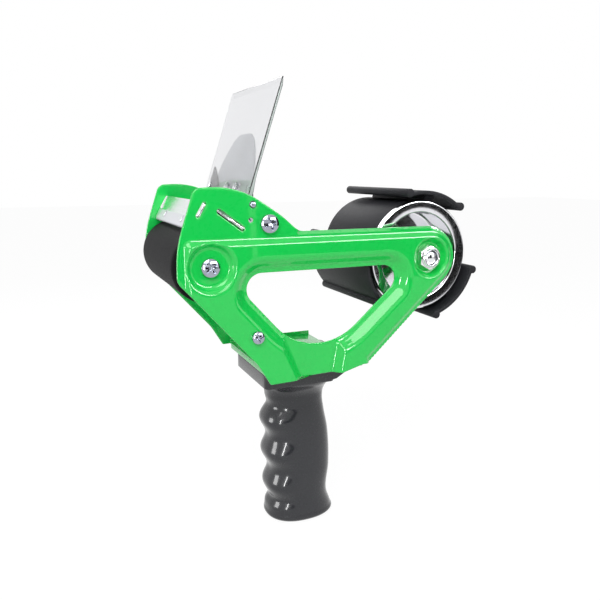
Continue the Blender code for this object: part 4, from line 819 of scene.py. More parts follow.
def prism(outline, low, high, where, edge=RIM_EDGE, holes=(), fineness=COARSE_POINTS):
    return sheet(outline, holes, level(high), level(low), where, edge, fineness)


def box_outline(u_low, v_low, u_high, v_high, radius):
    corners = ((u_low, v_low), (u_high, v_low), (u_high, v_high), (u_low, v_high))
    return rounded([(u, v, radius) for u, v in corners], BEND_STEP)


def mirrored(corners):
    """Half an outline, and its mirror image on the way back."""
    return [*corners, *((-u, *rest) for u, *rest in reversed(corners))]


def cubic_rows(table, at):
    """A smooth curve through a table whose first column is the parameter: Hermite cubics."""
    table = np.asarray(table, float)
    key, values = table[:, 0], table[:, 1:]
    slopes = np.gradient(values, key, axis=0)
    k = np.clip(np.searchsorted(key, at, side="right") - 1, 0, len(key) - 2)
    width = (key[k + 1] - key[k])[:, None]
    t = (at - key[k])[:, None] / width
    return (
        values[k] * (2 * t**3 - 3 * t**2 + 1)
        + slopes[k] * width * (t**3 - 2 * t**2 + t)
        + values[k + 1] * (3 * t**2 - 2 * t**3)
        + slopes[k + 1] * width * (t**3 - t**2)
    )


def piece(name, surface, look, node, body="frame", rim=None):
    """Adds a surface as a smooth-shaded piece that rides on a body and stands for a CAD node.

    A rim finish goes on the surface's last block of faces, which is a sheet's wall."""
    points, faces = surface
    mesh = bpy.data.meshes.new(name)
    mesh.vertices.add(len(points))
    mesh.vertices.foreach_set("co", points.ravel())
    mesh.loops.add(sum(block.size for block in faces))
    mesh.loops.foreach_set("vertex_index", np.concatenate([block.ravel() for block in faces]))
    sizes = np.concatenate([np.full(len(block), block.shape[1]) for block in faces])
    mesh.polygons.add(len(sizes))
    mesh.polygons.foreach_set("loop_start", np.cumsum(sizes) - sizes)
    mesh.polygons.foreach_set("use_smooth", np.ones(len(sizes), bool))
    mesh.update(calc_edges=True)
    mesh.validate()
    mesh.set_sharp_from_angle(angle=SHARP_ANGLE)
    mesh.materials.append(finish(look))
    if rim:
        mesh.materials.append(finish(rim))
        walls = [np.full(len(block), k == len(faces) - 1, np.int32) for k, block in enumerate(faces)]
        mesh.polygons.foreach_set("material_index", np.concatenate(walls))
    made = bpy.data.objects.new(name, mesh)
    bpy.context.scene.collection.objects.link(made)
    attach(made, body)
    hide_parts(node)


# Finishes: slot, colour setting, roughness range, tint, waves per metre of the mottle and of the
# grain, relief, stretch across the frame, detail, and the shader's own sockets
METAL = {"Metallic": 1}
FINISHES = {
    # Gloss enamel with a hint of orange peel under a clear skin
    "gloss_enamel": (
        "green_paint", "enamel", (0.24, 0.34), 0.03, 45, 420, 0.000006, 1, 1,
        {"Specular IOR Level": 0.1, "Coat Weight": 1, "Coat Roughness": 0.03, "Coat IOR": 1.5},
    ),
    # Gloss moulding with faint flow marks
    "grip_moulding": (
        "grip_plastic", "grip", (0.20, 0.30), 0.05, 35, 700, 0.000006, 1, 2,
        {"Specular IOR Level": 0.25, "Coat Weight": 0.5, "Coat Roughness": 0.06},
    ),
    "hub_moulding": (
        "hub_plastic", "hub", (0.42, 0.56), 0.06, 50, 1500, 0.000012, 1, 4, {"Specular IOR Level": 0.12},
    ),
    "core_moulding": ("core_plastic", "core", (0.38, 0.52), 0.10, 80, 1600, 0.000012, 1, 3, {}),
    # Rubber ground across the roller, with fine grit
    "ground_rubber": (
        "rubber", "rubber", (0.55, 0.75), 0.14, 160, 2600, 0.00003, 0.35, 4, {"Specular IOR Level": 0.1},
    ),
    # Bright plating over drawn steel: nearly a mirror, with a trace of the steel's lines
    "bright_plating": ("bright_steel", "plating", (0.06, 0.16), 0.05, 160, 1500, 0.000002, 1, 3, METAL),
    # Polished on a lathe: the faint rings follow the hub's axis
    "polished_steel": ("bright_steel", "plating", (0.05, 0.13), 0.04, 90, 1200, 0.0000015, 6, 3, METAL),
    "satin_steel": ("satin_steel", "steel", (0.26, 0.42), 0.08, 220, 1400, 0.000006, 0.06, 4, METAL),
    # Bright sheet with rolling marks that run across the frame
    "brushed_plate": ("bright_steel", "plating", (0.16, 0.30), 0.07, 260, 1800, 0.000004, 0.04, 4, METAL),
    # Zinc with a blue passivation, darker than the bright plating
    "screw_plating": ("bright_steel", "screws", (0.05, 0.12), 0.10, 300, 1500, 0.000002, 1, 3, METAL),
    "clear_moulding": (
        "clear_plastic", "clear", (0.02, 0.06), 0.01, 40, 500, 0.000003, 1, 1,
        {"Transmission Weight": 1, "IOR": 1.49},
    ),
    # The flap's cut edge, where light gathers in a grey green
    "clear_edge": (
        "clear_plastic", "edge", (0.15, 0.30), 0.08, 260, 700, 0.000005, 1, 3,
        {"Transmission Weight": 0.25, "IOR": 1.49},
    ),
    "milky_sheet": (
        "milky_plastic", "milky", (0.30, 0.45), 0.04, 70, 900, 0.000005, 1, 3,
        {"Transmission Weight": 0.55, "IOR": 1.45},
    ),
    # Dark spring steel with specks of bright metal
    "dark_spring_steel": (
        "satin_steel", "leaf", (0.45, 0.75), 0.97, 850, 2400, 0.00001, 1, 4, {"Specular IOR Level": 0.2},
    ),
    "pressed_felt": (
        "friction_felt", "felt", (0.85, 0.98), 0.35, 700, 3500, 0.00012, 1, 5,
        {"Sheen Weight": 0.4, "Sheen Roughness": 0.6},
    ),
}
MOTTLE_DETAIL = 3
NOISE_MIDDLE = (0.25, 0.75)


def shader_of(name, values):
    """A new material, its node tree, and its shader with the given sockets set."""
    made = bpy.data.materials.new(name)
    made.use_nodes = True
    shader = made.node_tree.nodes["Principled BSDF"]
    for socket, value in values.items():
        shader.inputs[socket].default_value = value
    return made, made.node_tree, shader


def noise_of(tree, scale, stretch, detail):
    """Noise on Object coordinates, its scale counted in waves per metre and stretched across the frame."""
    coordinates = tree.nodes.new("ShaderNodeTexCoord")
    mapping = tree.nodes.new("ShaderNodeMapping")
    mapping.inputs["Scale"].default_value = (1, stretch, 1)
    tree.links.new(coordinates.outputs["Object"], mapping.inputs["Vector"])
    noise = tree.nodes.new("ShaderNodeTexNoise")
    noise.inputs["Scale"].default_value = scale
    noise.inputs["Detail"].default_value = detail
    tree.links.new(mapping.outputs["Vector"], noise.inputs["Vector"])
    return noise.outputs["Fac"]


def spread_of(tree, source, low, high):
    """The middle half of a noise stretched to run from low to high."""
    spread = tree.nodes.new("ShaderNodeMapRange")
    for socket, value in zip(("From Min", "From Max", "To Min", "To Max"), (*NOISE_MIDDLE, low, high)):
        spread.inputs[socket].default_value = value
    tree.links.new(source, spread.inputs["Value"])
    return spread.outputs["Result"]


def finish(name):
    """A finish whose colour and roughness drift with one noise each, and whose relief follows the finer."""
    if name in bpy.data.materials:
        return bpy.data.materials[name]
    _, setting, roughness, tint, mottle, grain, relief, stretch, detail, sockets = FINISHES[name]
    made, tree, shader = shader_of(name, sockets)
    mix = tree.nodes.new("ShaderNodeMix")
    mix.data_type = "RGBA"
    colour = np.array(tuple(getattr(bpy.context.scene.dispenser_colours, setting))[:3])
    for socket, share in ((6, 1 - tint), (7, 1 + tint)):
        mix.inputs[socket].default_value = (*np.clip(colour * share, 0, 1), 1)
    drift = noise_of(tree, mottle, stretch, MOTTLE_DETAIL)
    tree.links.new(spread_of(tree, drift, 0, 1), mix.inputs[0])
    tree.links.new(mix.outputs[2], shader.inputs["Base Color"])
    fine = noise_of(tree, grain, stretch, detail)
    tree.links.new(spread_of(tree, fine, *roughness), shader.inputs["Roughness"])
    bump = tree.nodes.new("ShaderNodeBump")
    bump.inputs["Strength"].default_value = 1
    bump.inputs["Distance"].default_value = relief
    tree.links.new(fine, bump.inputs["Height"])
    tree.links.new(bump.outputs["Normal"], shader.inputs["Normal"])
    return made


# Stamped plates


def near_outline_corners():
    """Head, neck, bar, hub end and heel; the bar's top and the back edge are tangent to one circle."""
    to_hub = HUB - frame_point(HEEL_SHARES[0])
    lean = math.atan2(to_hub[1], to_hub[0]) - math.asin(BAR_TOP / np.linalg.norm(to_hub))
    corner = HUB_BACK + BAR_TOP * (1 + math.cos(lean)) / math.sin(lean)
    neck = frame_corner(NECK_SHARES)
    top = HUB_HEIGHT + BAR_TOP
    bar = [(neck[0], top, neck[2]), (corner, top, BAR_TOP)]
    return frame_corners(HEAD_SHARES) + bar + frame_corners(HEEL_SHARES)


def plate_holes():
    """The holes that both plates share."""
    blade, guide = ([frame_point(s) for s in shares] for shares in (BLADE_SLOT_SHARES, GUIDE_SLOT_SHARES))
    return [
        circle(AXLE, AXLE_SCREW[0] + HOLE_GAP, WIDE_HOLE_COLUMNS),
        circle(frame_point(UPPER_TIE_SHARES), AXLE_SCREW[0] + HOLE_GAP, WIDE_HOLE_COLUMNS),
        circle(frame_point(LOWER_TIE_SHARES), TIE_SCREW[0] + HOLE_GAP, SLIM_HOLE_COLUMNS),
        circle(frame_point(PIN_SHARES), PIN_RADIUS + HOLE_GAP, SLIM_HOLE_COLUMNS),
        circle(frame_point(SPRING_HOLE_SHARES), SPRING_HOLE_RADIUS, SMALL_HOLE_COLUMNS),
        capsule(*blade, CROSS_SHEET / 2 + SLOT_GAP),
        capsule(*guide, CROSS_SHEET / 2 + GUIDE_SLOT_GAP),
    ]


def relief(sizes, plateau, slopes, dishes):
    """Height of a plate's outer face over the side view, as a function of flat points.

    It is the least of the plateau's step and the slopes, raised by a flat seat round the lower tie
    rod and lowered by the dishes. A slope is a line, its width, and whether it bounds a flat region."""
    fillet = sizes.fillet_share

    def away(places, line, closed):
        gap = distance(places, line, closed)
        return np.where(inside(places, line), 0, gap) if closed else gap

    def height(places):
        step = RELIEF_TOP - RELIEF_HEAD
        lift = RELIEF_TOP - step * ramp(away(places, plateau, True), STEP_SLOPE, fillet)
        for line, width, closed in slopes:
            lift = np.minimum(lift, RELIEF_TOP * ramp(away(places, line, closed), width, fillet))
        off = np.linalg.norm(places - frame_point(LOWER_TIE_SHARES), axis=1)
        lift = np.maximum(lift, RELIEF_TOP * (1 - ramp(off - TIE_SCREW[1], TIE_SCREW[1], fillet)))
        for centre, (floor, rim), depth in dishes:
            off = np.linalg.norm(places - centre, axis=1)
            lift = np.minimum(lift, RELIEF_TOP - depth * (1 - ramp(off - floor, rim - floor, fillet)))
        return HALF_GAP + sizes.sheet - RELIEF_HEAD + lift

    return height


def near_relief(sizes, window):
    """Slopes from the window, the flange and the panel, and dishes at the axle and the hub."""
    corners = near_outline_corners()
    first = len(HEAD_SHARES)
    flange = rounded_run(corners[first : first + 3])
    inner_hub = shifted_run(flange, PLATEAU_INSET)
    inner_hub = inner_hub[inner_hub[:, 0] > frame_point(NECK_SHARES)[0]]
    front, beyond = HUB_BACK + PLATEAU_FRONT_SHARE * FRAME_SPAN, HUB_HEIGHT - FRAME_SPAN
    bar_line = HUB_HEIGHT + BAR_TOP - PLATEAU_INSET
    plateau = np.vstack([[(front, bar_line)], inner_hub, [(corners[-3][0], beyond), (front, beyond)]])
    panel = np.array([frame_point(s) for s in PANEL_SHARES])
    slopes = ((window, WINDOW_SLOPE, True), (flange, FLANGE_WIDTH, False), (panel, PANEL_SLOPE, True))
    return relief(sizes, plateau, slopes, (AXLE_DISH, HUB_DISH))


def far_relief(sizes):
    """A slope down to the leg's edge and a dish at the axle."""
    front, bar_line = HUB_BACK + PLATEAU_FRONT_SHARE * FRAME_SPAN, HUB_HEIGHT + BAR_TOP - PLATEAU_INSET
    beyond, below = FRAME_SPAN, HUB_HEIGHT - FRAME_SPAN
    plateau = np.array([(front, bar_line), (beyond, bar_line), (beyond, below), (front, below)])
    leg = rounded_run(frame_corners(LEG_SHARES))
    return relief(sizes, plateau, ((leg, WINDOW_SLOPE, False),), (AXLE_DISH,))


def under_relief(height, thickness):
    """The inner face: the outer one less the sheet, stretched where it slopes so its wall stays even."""

    def low(places):
        outer = height(places)
        steps = ((SLOPE_PROBE, 0), (0, SLOPE_PROBE))
        along, up = ((height(places + step) - outer) / SLOPE_PROBE for step in steps)
        return outer - thickness * np.sqrt(1 + along**2 + up**2)

    return low


class DISPENSER_OT_side_plates(Operator):
    """Both stamped side plates with their relief, holes and rounded rims"""

    bl_idname = "dispenser.side_plates"
    bl_label = "Side Plates"

    def execute(self, context):
        sizes = context.scene.dispenser_plates
        bolt_hole = circle(HUB, BOLT_RADIUS + HOLE_GAP, WIDE_HOLE_COLUMNS)
        window = rounded(frame_corners(WINDOW_SHARES))
        near_holes, far_corners = [window, *plate_holes(), bolt_hole], frame_corners(HEAD_SHARES + LEG_SHARES)
        plates = (
            ("near", -1, near_outline_corners(), near_holes, near_relief(sizes, window)),
            ("far", 1, far_corners, plate_holes(), far_relief(sizes)),
        )
        for side, facing, corners, holes, high in plates:
            where, low = side_plane((0, 0), facing), under_relief(high, sizes.sheet)
            fineness = (sizes.spacing, PLATE_RIM_STEP)
            surface = sheet(rounded(corners), holes, high, low, where, sizes.edge_round, fineness)
            piece(f"{side}_plate_stamping", surface, "gloss_enamel", f"{side}_side_plate")
        return {"FINISHED"}


# Screws, rods and rivets


def hexagon_radius(radii, angles):
    """The lesser of each radius and a hexagon's.

    A hexagon's is half the flats over the cosine of the angle off the nearest flat's middle."""
    off = (angles + math.pi / 6) % (math.pi / 3) - math.pi / 6
    return np.minimum(radii, HEX_FLAT / np.cos(off))


def screw(sizes, where, turn=0.0):
    """Pan head, cross recess and shank about the plane's w direction, the head's seat at w = 0.

    The head's top is height * (1 - drop * share^power) with a cross sunk in it: within each arm the
    depth falls off towards the arm's end, and a narrow smooth step makes its walls."""
    radius, head, height, length = sizes
    share = np.concatenate([np.linspace(*rows) for rows in HEAD_ROWS])
    rows, rim, edge = len(share), head * share[-1], height * HEAD_EDGE_SHARE
    top = np.column_stack([head * share, height * (1 - DOME_DROP * share**DOME_POWER)])
    corners = [(rim, top[-1, 1], 0), (head, height / 2, edge), (head, 0, edge), (radius, 0, 0)]
    shank = [(radius, -SHANK_NECK), (radius, SHANK_TIP - length), (radius - SHANK_TIP, -length)]
    profile = np.vstack([top, rounded_run(corners, HEAD_STEP)[1:], shank])
    angles = np.linspace(0, 2 * math.pi, SCREW_COLUMNS, endpoint=False)
    radii, across = (np.repeat(profile[:, k : k + 1], SCREW_COLUMNS, axis=1) for k in (0, 1))
    u, v = (radii[:rows] * f(angles - turn)[None] / head for f in (np.cos, np.sin))
    depth = np.zeros_like(u)
    for long, wide in ((u, v), (v, u)):
        reach = np.abs(long) / RECESS_REACH
        width = RECESS_WIDTH * (RECESS_FLARE - RECESS_NARROWING * np.clip(reach, 0, 1))
        wall = 1 - smooth_step(np.abs(wide), width - RECESS_EDGE / 2, width + RECESS_EDGE / 2)
        end = 1 - smooth_step(reach, 1 - RECESS_EDGE, 1 + RECESS_EDGE)
        depth = np.maximum(depth, wall * end * (1 - RECESS_RISE * np.clip(reach, 0, 1)))
    across[:rows] -= height * RECESS_DEPTH * depth
    grid = np.stack([radii * np.cos(angles), radii * np.sin(angles), across], -1)
    poles = (placed(np.array((0, 0, w)), where) for w in (height * (1 - RECESS_DEPTH), -length))
    return skin(placed(grid, where), tuple(poles))


def rod(radius, reach, bore, depth, where):
    """A rod from side to side with a chamfered, drilled hole in each end."""
    end = reach - SEAT_GAP
    half = [
        (bore, end - depth), (bore, end - CHAMFER), (bore + CHAMFER, end), (radius - CHAMFER, end),
        (radius, end - CHAMFER),
    ]
    profile = [(0, end - depth), *half, *((r, -w) for r, w in reversed(half)), (0, depth - end)]
    return turned(profile, where, ROD_COLUMNS)


def rivet(sizes, low, high, where):
    """A rivet between two faces: a shank and a low dome each side."""
    radius, head, height = sizes
    angles = np.linspace(0, math.pi / 2, 9)[1:-1]
    dome = [(head * math.sin(a), high + height * math.cos(a) ** RIVET_POWER) for a in angles]
    profile = [(0, high + height), *dome, (head, high), (radius, high), (radius, low), (head, low)]
    profile += [(r, low + high - w) for r, w in reversed(dome)] + [(0, low - height)]
    return turned(profile, where, PIN_COLUMNS)


class DISPENSER_OT_rods_and_screws(Operator):
    """Roller axle and both tie rods, and the screw that holds each end"""

    bl_idname = "dispenser.rods_and_screws"
    bl_label = "Rods and Screws"

    def execute(self, context):
        upper, lower = frame_point(UPPER_TIE_SHARES), frame_point(LOWER_TIE_SHARES)
        sets = (
            ("roller", "roller_axle", AXLE, AXLE_RADIUS, DISH_INSIDE, AXLE_SCREW, 38),
            ("upper", "upper_tie_rod", upper, UPPER_TIE_RADIUS, HALF_GAP, AXLE_SCREW, 20),
            ("lower", "lower_tie_rod", lower, LOWER_TIE_RADIUS, LEG_INSIDE, TIE_SCREW, 10),
        )
        for place, node, centre, radius, reach, sizes, turn in sets:
            surface = rod(radius, reach, sizes[0] + HOLE_GAP, sizes[3] + SEAT_GAP, side_plane(centre))
            piece(f"{node}_turning", surface, "satin_steel", node)
            seat = reach + context.scene.dispenser_plates.sheet + SEAT_GAP
            for ending, facing, angle in (("near", -1, turn), ("far", 1, turn + SCREW_TURN)):
                where = on_plane(side_plane(centre, facing), 0, 0, seat)
                name = f"{place}_screw_{ending}"
                piece(f"{name}_head", screw(sizes, where, math.radians(angle)), "screw_plating", name)
        return {"FINISHED"}


# Roller


class DISPENSER_OT_roller(Operator):
    """Rubber sleeve on its spool"""

    bl_idname = "dispenser.roller"
    bl_label = "Roller"

    def execute(self, context):
        where, inner, half = side_plane(AXLE), ROLLER_RADIUS - RUBBER_WALL, ROLLER_HALF
        end = [(inner, half, RIM_EDGE), (ROLLER_RADIUS, half, RUBBER_EDGE)]
        outline = divided(rounded([(r, -w, bend) for r, w, bend in end] + end[::-1], BEND_STEP), RUBBER_STEP)
        sleeve = turned(outline, where, DRUM_COLUMNS, True)
        piece("roller_rubber", sleeve, "ground_rubber", "roller_sleeve", "roller")
        outer = inner - SEAT_GAP
        shell, bore, web = outer - CORE_SHELL, AXLE_RADIUS + SEAT_GAP, CORE_WEB / 2
        quarter = [
            (bore, half), (CORE_BOSS_RADIUS, half), (CORE_BOSS_RADIUS, web), (shell, web),
            (shell, half), (outer, half),
        ]
        corners = [(r, w, MOULD_EDGE) for r, w in (*quarter, *((r, -w) for r, w in reversed(quarter)))]
        core = turned(rounded(corners, ROUGH_STEP), where, TURN_COLUMNS, True)
        piece("roller_spool", core, "core_moulding", "roller_core", "roller")
        return {"FINISHED"}


# Cutting head


def cross_plate(plate_shares, tab_shares, rivets=()):
    """A plate from side to side whose tabs stand in the side plates' slots."""
    start, end = (frame_point(s) for s in plate_shares)
    low, high = (np.linalg.norm(frame_point(s) - start) for s in tab_shares)
    height = np.linalg.norm(end - start)
    half, tip = HALF_GAP - CROSS_SIDE_GAP, HALF_GAP + PLATE_SHEET + TAB_STANDOUT
    right = [(half, 0), (half, low), (tip, low), (tip, high), (half, high), (half, height)]
    outline = rounded(mirrored([(u, v, RIM_EDGE) for u, v in right]), ROUGH_STEP)
    holes = [circle(place, radius, SMALL_HOLE_COLUMNS) for place, radius in rivets]
    where = cross_plane(start, end)
    return prism(outline, -CROSS_SHEET / 2, CROSS_SHEET / 2, where, SHEET_EDGE, holes, CROSS_POINTS)


class DISPENSER_OT_cutting_head(Operator):
    """Blade holder, serrated blade, its rivets and the tape guide"""

    bl_idname = "dispenser.cutting_head"
    bl_label = "Cutting Head"

    def execute(self, context):
        start, end = (frame_point(s) for s in BLADE_PLATE_SHARES)
        where = cross_plane(start, end)
        half = HALF_GAP - CROSS_SIDE_GAP - SLOT_GAP
        low = np.linalg.norm(end - start) + BLADE_REACH
        rivet_up = low - BLADE_BAND / 2 - TOOTH_DEPTH
        places = [((half * share, rivet_up), BLADE_RIVET[0] + HOLE_GAP) for share in (-1 / 2, 1 / 2)]
        holder = cross_plate(BLADE_PLATE_SHARES, BLADE_SLOT_SHARES, places)
        piece("blade_holder_sheet", holder, "brushed_plate", "blade_holder_plate")
        guide = cross_plate(GUIDE_PLATE_SHARES, GUIDE_TAB_SHARES)
        piece("tape_guide_sheet", guide, "brushed_plate", "tape_guide_plate")
        teeth = round(2 * half / TOOTH_PITCH)
        pitch, count = 2 * half / teeth, np.arange(teeth)
        tips = np.column_stack([pitch * (count + 1 / 2) - half, np.full(teeth, low)])
        roots = np.column_stack([pitch * (count + 1) - half, np.full(teeth, low - TOOTH_DEPTH)])
        toothed = np.stack([tips, roots], 1).reshape(-1, 2)
        ends = [(-half, low - BLADE_BAND), (-half, low - TOOTH_DEPTH)]
        outline = np.vstack([ends, toothed, [(half, low - BLADE_BAND)]])
        front = -CROSS_SHEET / 2 - SEAT_GAP

        def back(points):
            ground = smooth_step(points[:, 1], low - BLADE_BEVEL, low)
            return front - BLADE_SHEET * (1 - BLADE_GROUND_SHARE * ground)

        holes = [circle(place, radius, SMALL_HOLE_COLUMNS) for place, radius in places]
        blade = sheet(outline, holes, level(front), back, where, BLADE_EDGE, BLADE_POINTS)
        piece("blade_steel", blade, "satin_steel", "cutting_blade")
        under, over = front - BLADE_SHEET - SEAT_GAP, CROSS_SHEET / 2 + SEAT_GAP
        for k, (place, _) in enumerate(places):
            name = f"blade_rivet_{k + 1}"
            surface = rivet(BLADE_RIVET, under, over, on_plane(where, *place))
            piece(f"{name}_dome", surface, "bright_plating", name)
        return {"FINISHED"}


# Flap


def flap_plane():
    """Plane of the flap: u across the frame, v up the flap from the pin, w towards the front."""
    pin = frame_point(PIN_SHARES)
    return cross_plane(pin, pin + np.array((math.sin(FLAP_LEAN), math.cos(FLAP_LEAN))))


def flap_moulding():
    """The clear flap as two height fields over a grid, with a notch for the spring beside the barrel.

    The front face is the greater of the barrel's circle and a plane. The back face is the lesser of the
    circle and the root's plane, which steps to the sheet's over a short slope and thins along the top.
    The grid's lines close up at the rims and at each bend."""
    top, bevelled = FLAP_HEIGHT, FLAP_HEIGHT - FLAP_CHAMFER
    rim = FLAP_EDGE * (1 - np.cos(np.linspace(0, math.pi / 2, 5)))
    notch = SPRING_POCKET - FLAP_HALF
    side, beside = FLAP_SIDE_LINES
    before, near, past, after = (notch + line for line in FLAP_NOTCH_LINES)
    u = np.concatenate([
        rim - FLAP_HALF,
        np.linspace(FLAP_EDGE - FLAP_HALF + side, before, 5),
        np.linspace(near, past, 3),
        np.linspace(after, FLAP_HALF - beside, 34),
        (FLAP_HALF - rim)[::-1],
    ])
    knee = FLAP_ROOT_HEIGHT - FLAP_KNEE
    root = [FLAP_ROOT_HEIGHT + line for line in FLAP_ROOT_LINES]
    bevel = [bevelled + line for line in FLAP_BEVEL_LINES]
    upper = np.unique(np.concatenate([
        np.linspace(knee, root[0], 5),
        np.linspace(root[1], root[2], 14),
        np.linspace(root[3], bevel[0], 16),
        np.linspace(bevel[1], bevel[2], 8),
        np.linspace(bevel[3], top - FLAP_EDGE - FLAP_TOP_LINE, 6),
        top - rim,
    ]))
    low = np.where(u < notch, SPRING_POCKET_RADIUS, FLAP_BARREL_LOW)[:, None]
    lower = low + (knee - low) * np.linspace(0, 1, 36)[None, :-1]
    v = np.concatenate([lower, np.repeat(upper[None], len(u), axis=0)], axis=1)
    across, up = np.repeat(u[:, None], v.shape[1], axis=1).ravel(), v.ravel()
    back, thin = FLAP_FRONT - FLAP_ROOT_SHEET, FLAP_FRONT - FLAP_SHEET
    back = back + (thin - back) * smooth_step(up, FLAP_BARREL_RADIUS, FLAP_ROOT_HEIGHT + thin - back)
    barrel = np.sqrt(np.maximum(FLAP_BARREL_RADIUS**2 - up**2, 0))
    high = np.where(up < 0, barrel, np.maximum(FLAP_FRONT, barrel))
    back = back + np.clip((up - top + FLAP_CHAMFER) / FLAP_CHAMFER, 0, 1) * FLAP_SHEET * CHAMFER_SHARE
    under = np.where(np.abs(up) < FLAP_BARREL_RADIUS, np.minimum(back, -barrel), back)
    inset = np.minimum.reduce([across + FLAP_HALF, FLAP_HALF - across, top - up])
    drop = np.minimum(rim_drop(inset, FLAP_EDGE), (high - under) * NEARLY_HALF)
    faces = grid_faces(len(u), v.shape[1], False, False)
    return slab(np.column_stack([across, up]), faces, high - drop, under + drop, flap_plane())


def flap_heel():
    """The lug from the barrel to the top of the upper tie rod, on which the open flap rests."""
    pin, tie = frame_point(PIN_SHARES), frame_point(UPPER_TIE_SHARES)
    run = tie - pin
    reach = np.linalg.norm(run)
    drop = math.asin((UPPER_TIE_RADIUS + SEAT_GAP) / reach)
    along = math.atan2(run[1], run[0]) + drop
    ahead = np.array((math.cos(along), math.sin(along)))
    up = np.array((-ahead[1], ahead[0])) * HEEL_THICKNESS
    start, length = FLAP_BARREL_RADIUS / 2, reach * math.cos(drop) + UPPER_TIE_RADIUS / 2
    corners = (ahead * start, ahead * length, ahead * length + up, ahead * start + up)
    outline = rounded([(*(pin + c), HEEL_EDGE) for c in corners], HEAD_STEP)
    return prism(outline, -HEEL_WIDTH / 2, HEEL_WIDTH / 2, side_plane((0, 0)))


def flap_spring():
    """A wire from the near plate's small hole into a coil about the pin, and up behind the flap.

    The coil's place is pin + radius (cos, sin) of the angle, moved across by one pitch a turn."""
    pin, hole = frame_point(PIN_SHARES), frame_point(SPRING_HOLE_SHARES)
    half_wire, radius = SPRING_WIRE / 2, SPRING_COIL_RADIUS
    away = hole - pin
    start = math.atan2(away[1], away[0]) - math.acos(radius / np.linalg.norm(away))
    reach = FLAP_FRONT - FLAP_ROOT_SHEET - SEAT_GAP - half_wire
    tilt = math.asin(reach / math.hypot(SPRING_LEG, radius)) + math.atan(radius / SPRING_LEG)
    end = tilt - FLAP_LEAN
    sweep = SPRING_TURNS * 2 * math.pi + (end - start) % (2 * math.pi)
    first = -HALF_GAP + SPRING_INSET + half_wire
    turns = np.linspace(0, sweep, SPRING_TURNS * 40)
    across = first + SPRING_PITCH * turns / (2 * math.pi)
    x, z = (centre + radius * f(start + turns) for centre, f in zip(pin, (np.cos, np.sin)))
    coil = np.column_stack([x, across, z])
    entry = [(hole[0], w, hole[1]) for w in (-HALF_GAP - SEAT_GAP, first - SPRING_ENTRY_GAP)]
    leg = np.array((-math.sin(end), 0, math.cos(end))) * np.linspace(0, SPRING_LEG, 6)[1:, None]
    return tube(np.vstack([entry, coil, coil[-1] + leg]), half_wire)


class DISPENSER_OT_flap(Operator):
    """Clear flap, its pin and its torsion spring"""

    bl_idname = "dispenser.flap"
    bl_label = "Flap"

    def execute(self, context):
        surface = joined(flap_heel(), flap_moulding())
        piece("clear_flap_moulding", surface, "clear_moulding", "clear_flap", "flap", "clear_edge")
        end, slim = HALF_GAP + PLATE_SHEET + PIN_STANDOUT, PIN_RADIUS - CHAMFER
        half = [(PIN_RADIUS, end - CHAMFER), (slim, end), (0, end)]
        profile = [*((r, -w) for r, w in reversed(half)), *half]
        pin = turned(profile, side_plane(frame_point(PIN_SHARES)), PIN_COLUMNS)
        piece("flap_pin_rod", pin, "screw_plating", "flap_pin")
        piece("flap_spring_wire", flap_spring(), "screw_plating", "flap_spring")
        return {"FINISHED"}


class DISPENSER_OT_flap_fittings(Operator):
    """Dark corner leaf and milky tongue behind the flap, with their rivets"""

    bl_idname = "dispenser.flap_fittings"
    bl_label = "Flap Fittings"

    def execute(self, context):
        where = flap_plane()
        leaf_face = FLAP_FRONT - FLAP_ROOT_SHEET - SEAT_GAP
        leaf_back = leaf_face - LEAF_SHEET
        face = leaf_back - SEAT_GAP
        behind = face - TONGUE_SHEET - SEAT_GAP
        rise = TONGUE_HEIGHT - TONGUE_FOOT
        right = [(TONGUE_HALF_WIDTH * x, TONGUE_FOOT + rise * z, TONGUE_BEND) for x, z in TONGUE_SHARES]
        right[0] = (*right[0][:2], TONGUE_CORNER)
        edge = FLAP_HALF - SEAT_GAP
        up = TONGUE_FOOT + FLAP_RIVET[1] + SEAT_GAP
        leaf_along = edge - LEAF_WIDTH / 2 + LEAF_RIVET_SHIFT
        rivets = (
            ("tongue_rivet_1", -TONGUE_HALF_WIDTH / 2, behind, "clear_moulding"),
            ("tongue_rivet_2", 0, behind, "clear_moulding"),
            ("leaf_rivet", leaf_along, leaf_back - SEAT_GAP, "bright_plating"),
        )
        holes = [circle((row[1], up), FLAP_RIVET[0] + HOLE_GAP, SMALL_HOLE_COLUMNS) for row in rivets]
        outline = rounded(mirrored(right))
        tongue = prism(outline, face - TONGUE_SHEET, face, where, TONGUE_EDGE, holes[:2], DRUM_POINTS)
        piece("tape_tongue_sheet", tongue, "milky_sheet", "tape_tongue", "flap")
        rise = LEAF_TOP - LEAF_FOOT
        run = rounded([(edge - LEAF_WIDTH * x, LEAF_FOOT + rise * z, LEAF_BEND) for x, z in LEAF_SHARES])
        leaf = prism(run, leaf_back, leaf_face, where, LEAF_EDGE, holes[2:], LEAF_POINTS)
        piece("flap_corner_spring", leaf, "dark_spring_steel", "flap_corner_leaf", "flap")
        for name, across, low, look in rivets:
            surface = rivet(FLAP_RIVET, low, FLAP_FRONT + SEAT_GAP, on_plane(where, across, up))
            piece(f"{name}_dome", surface, look, name, "flap")
        return {"FINISHED"}


# Hub


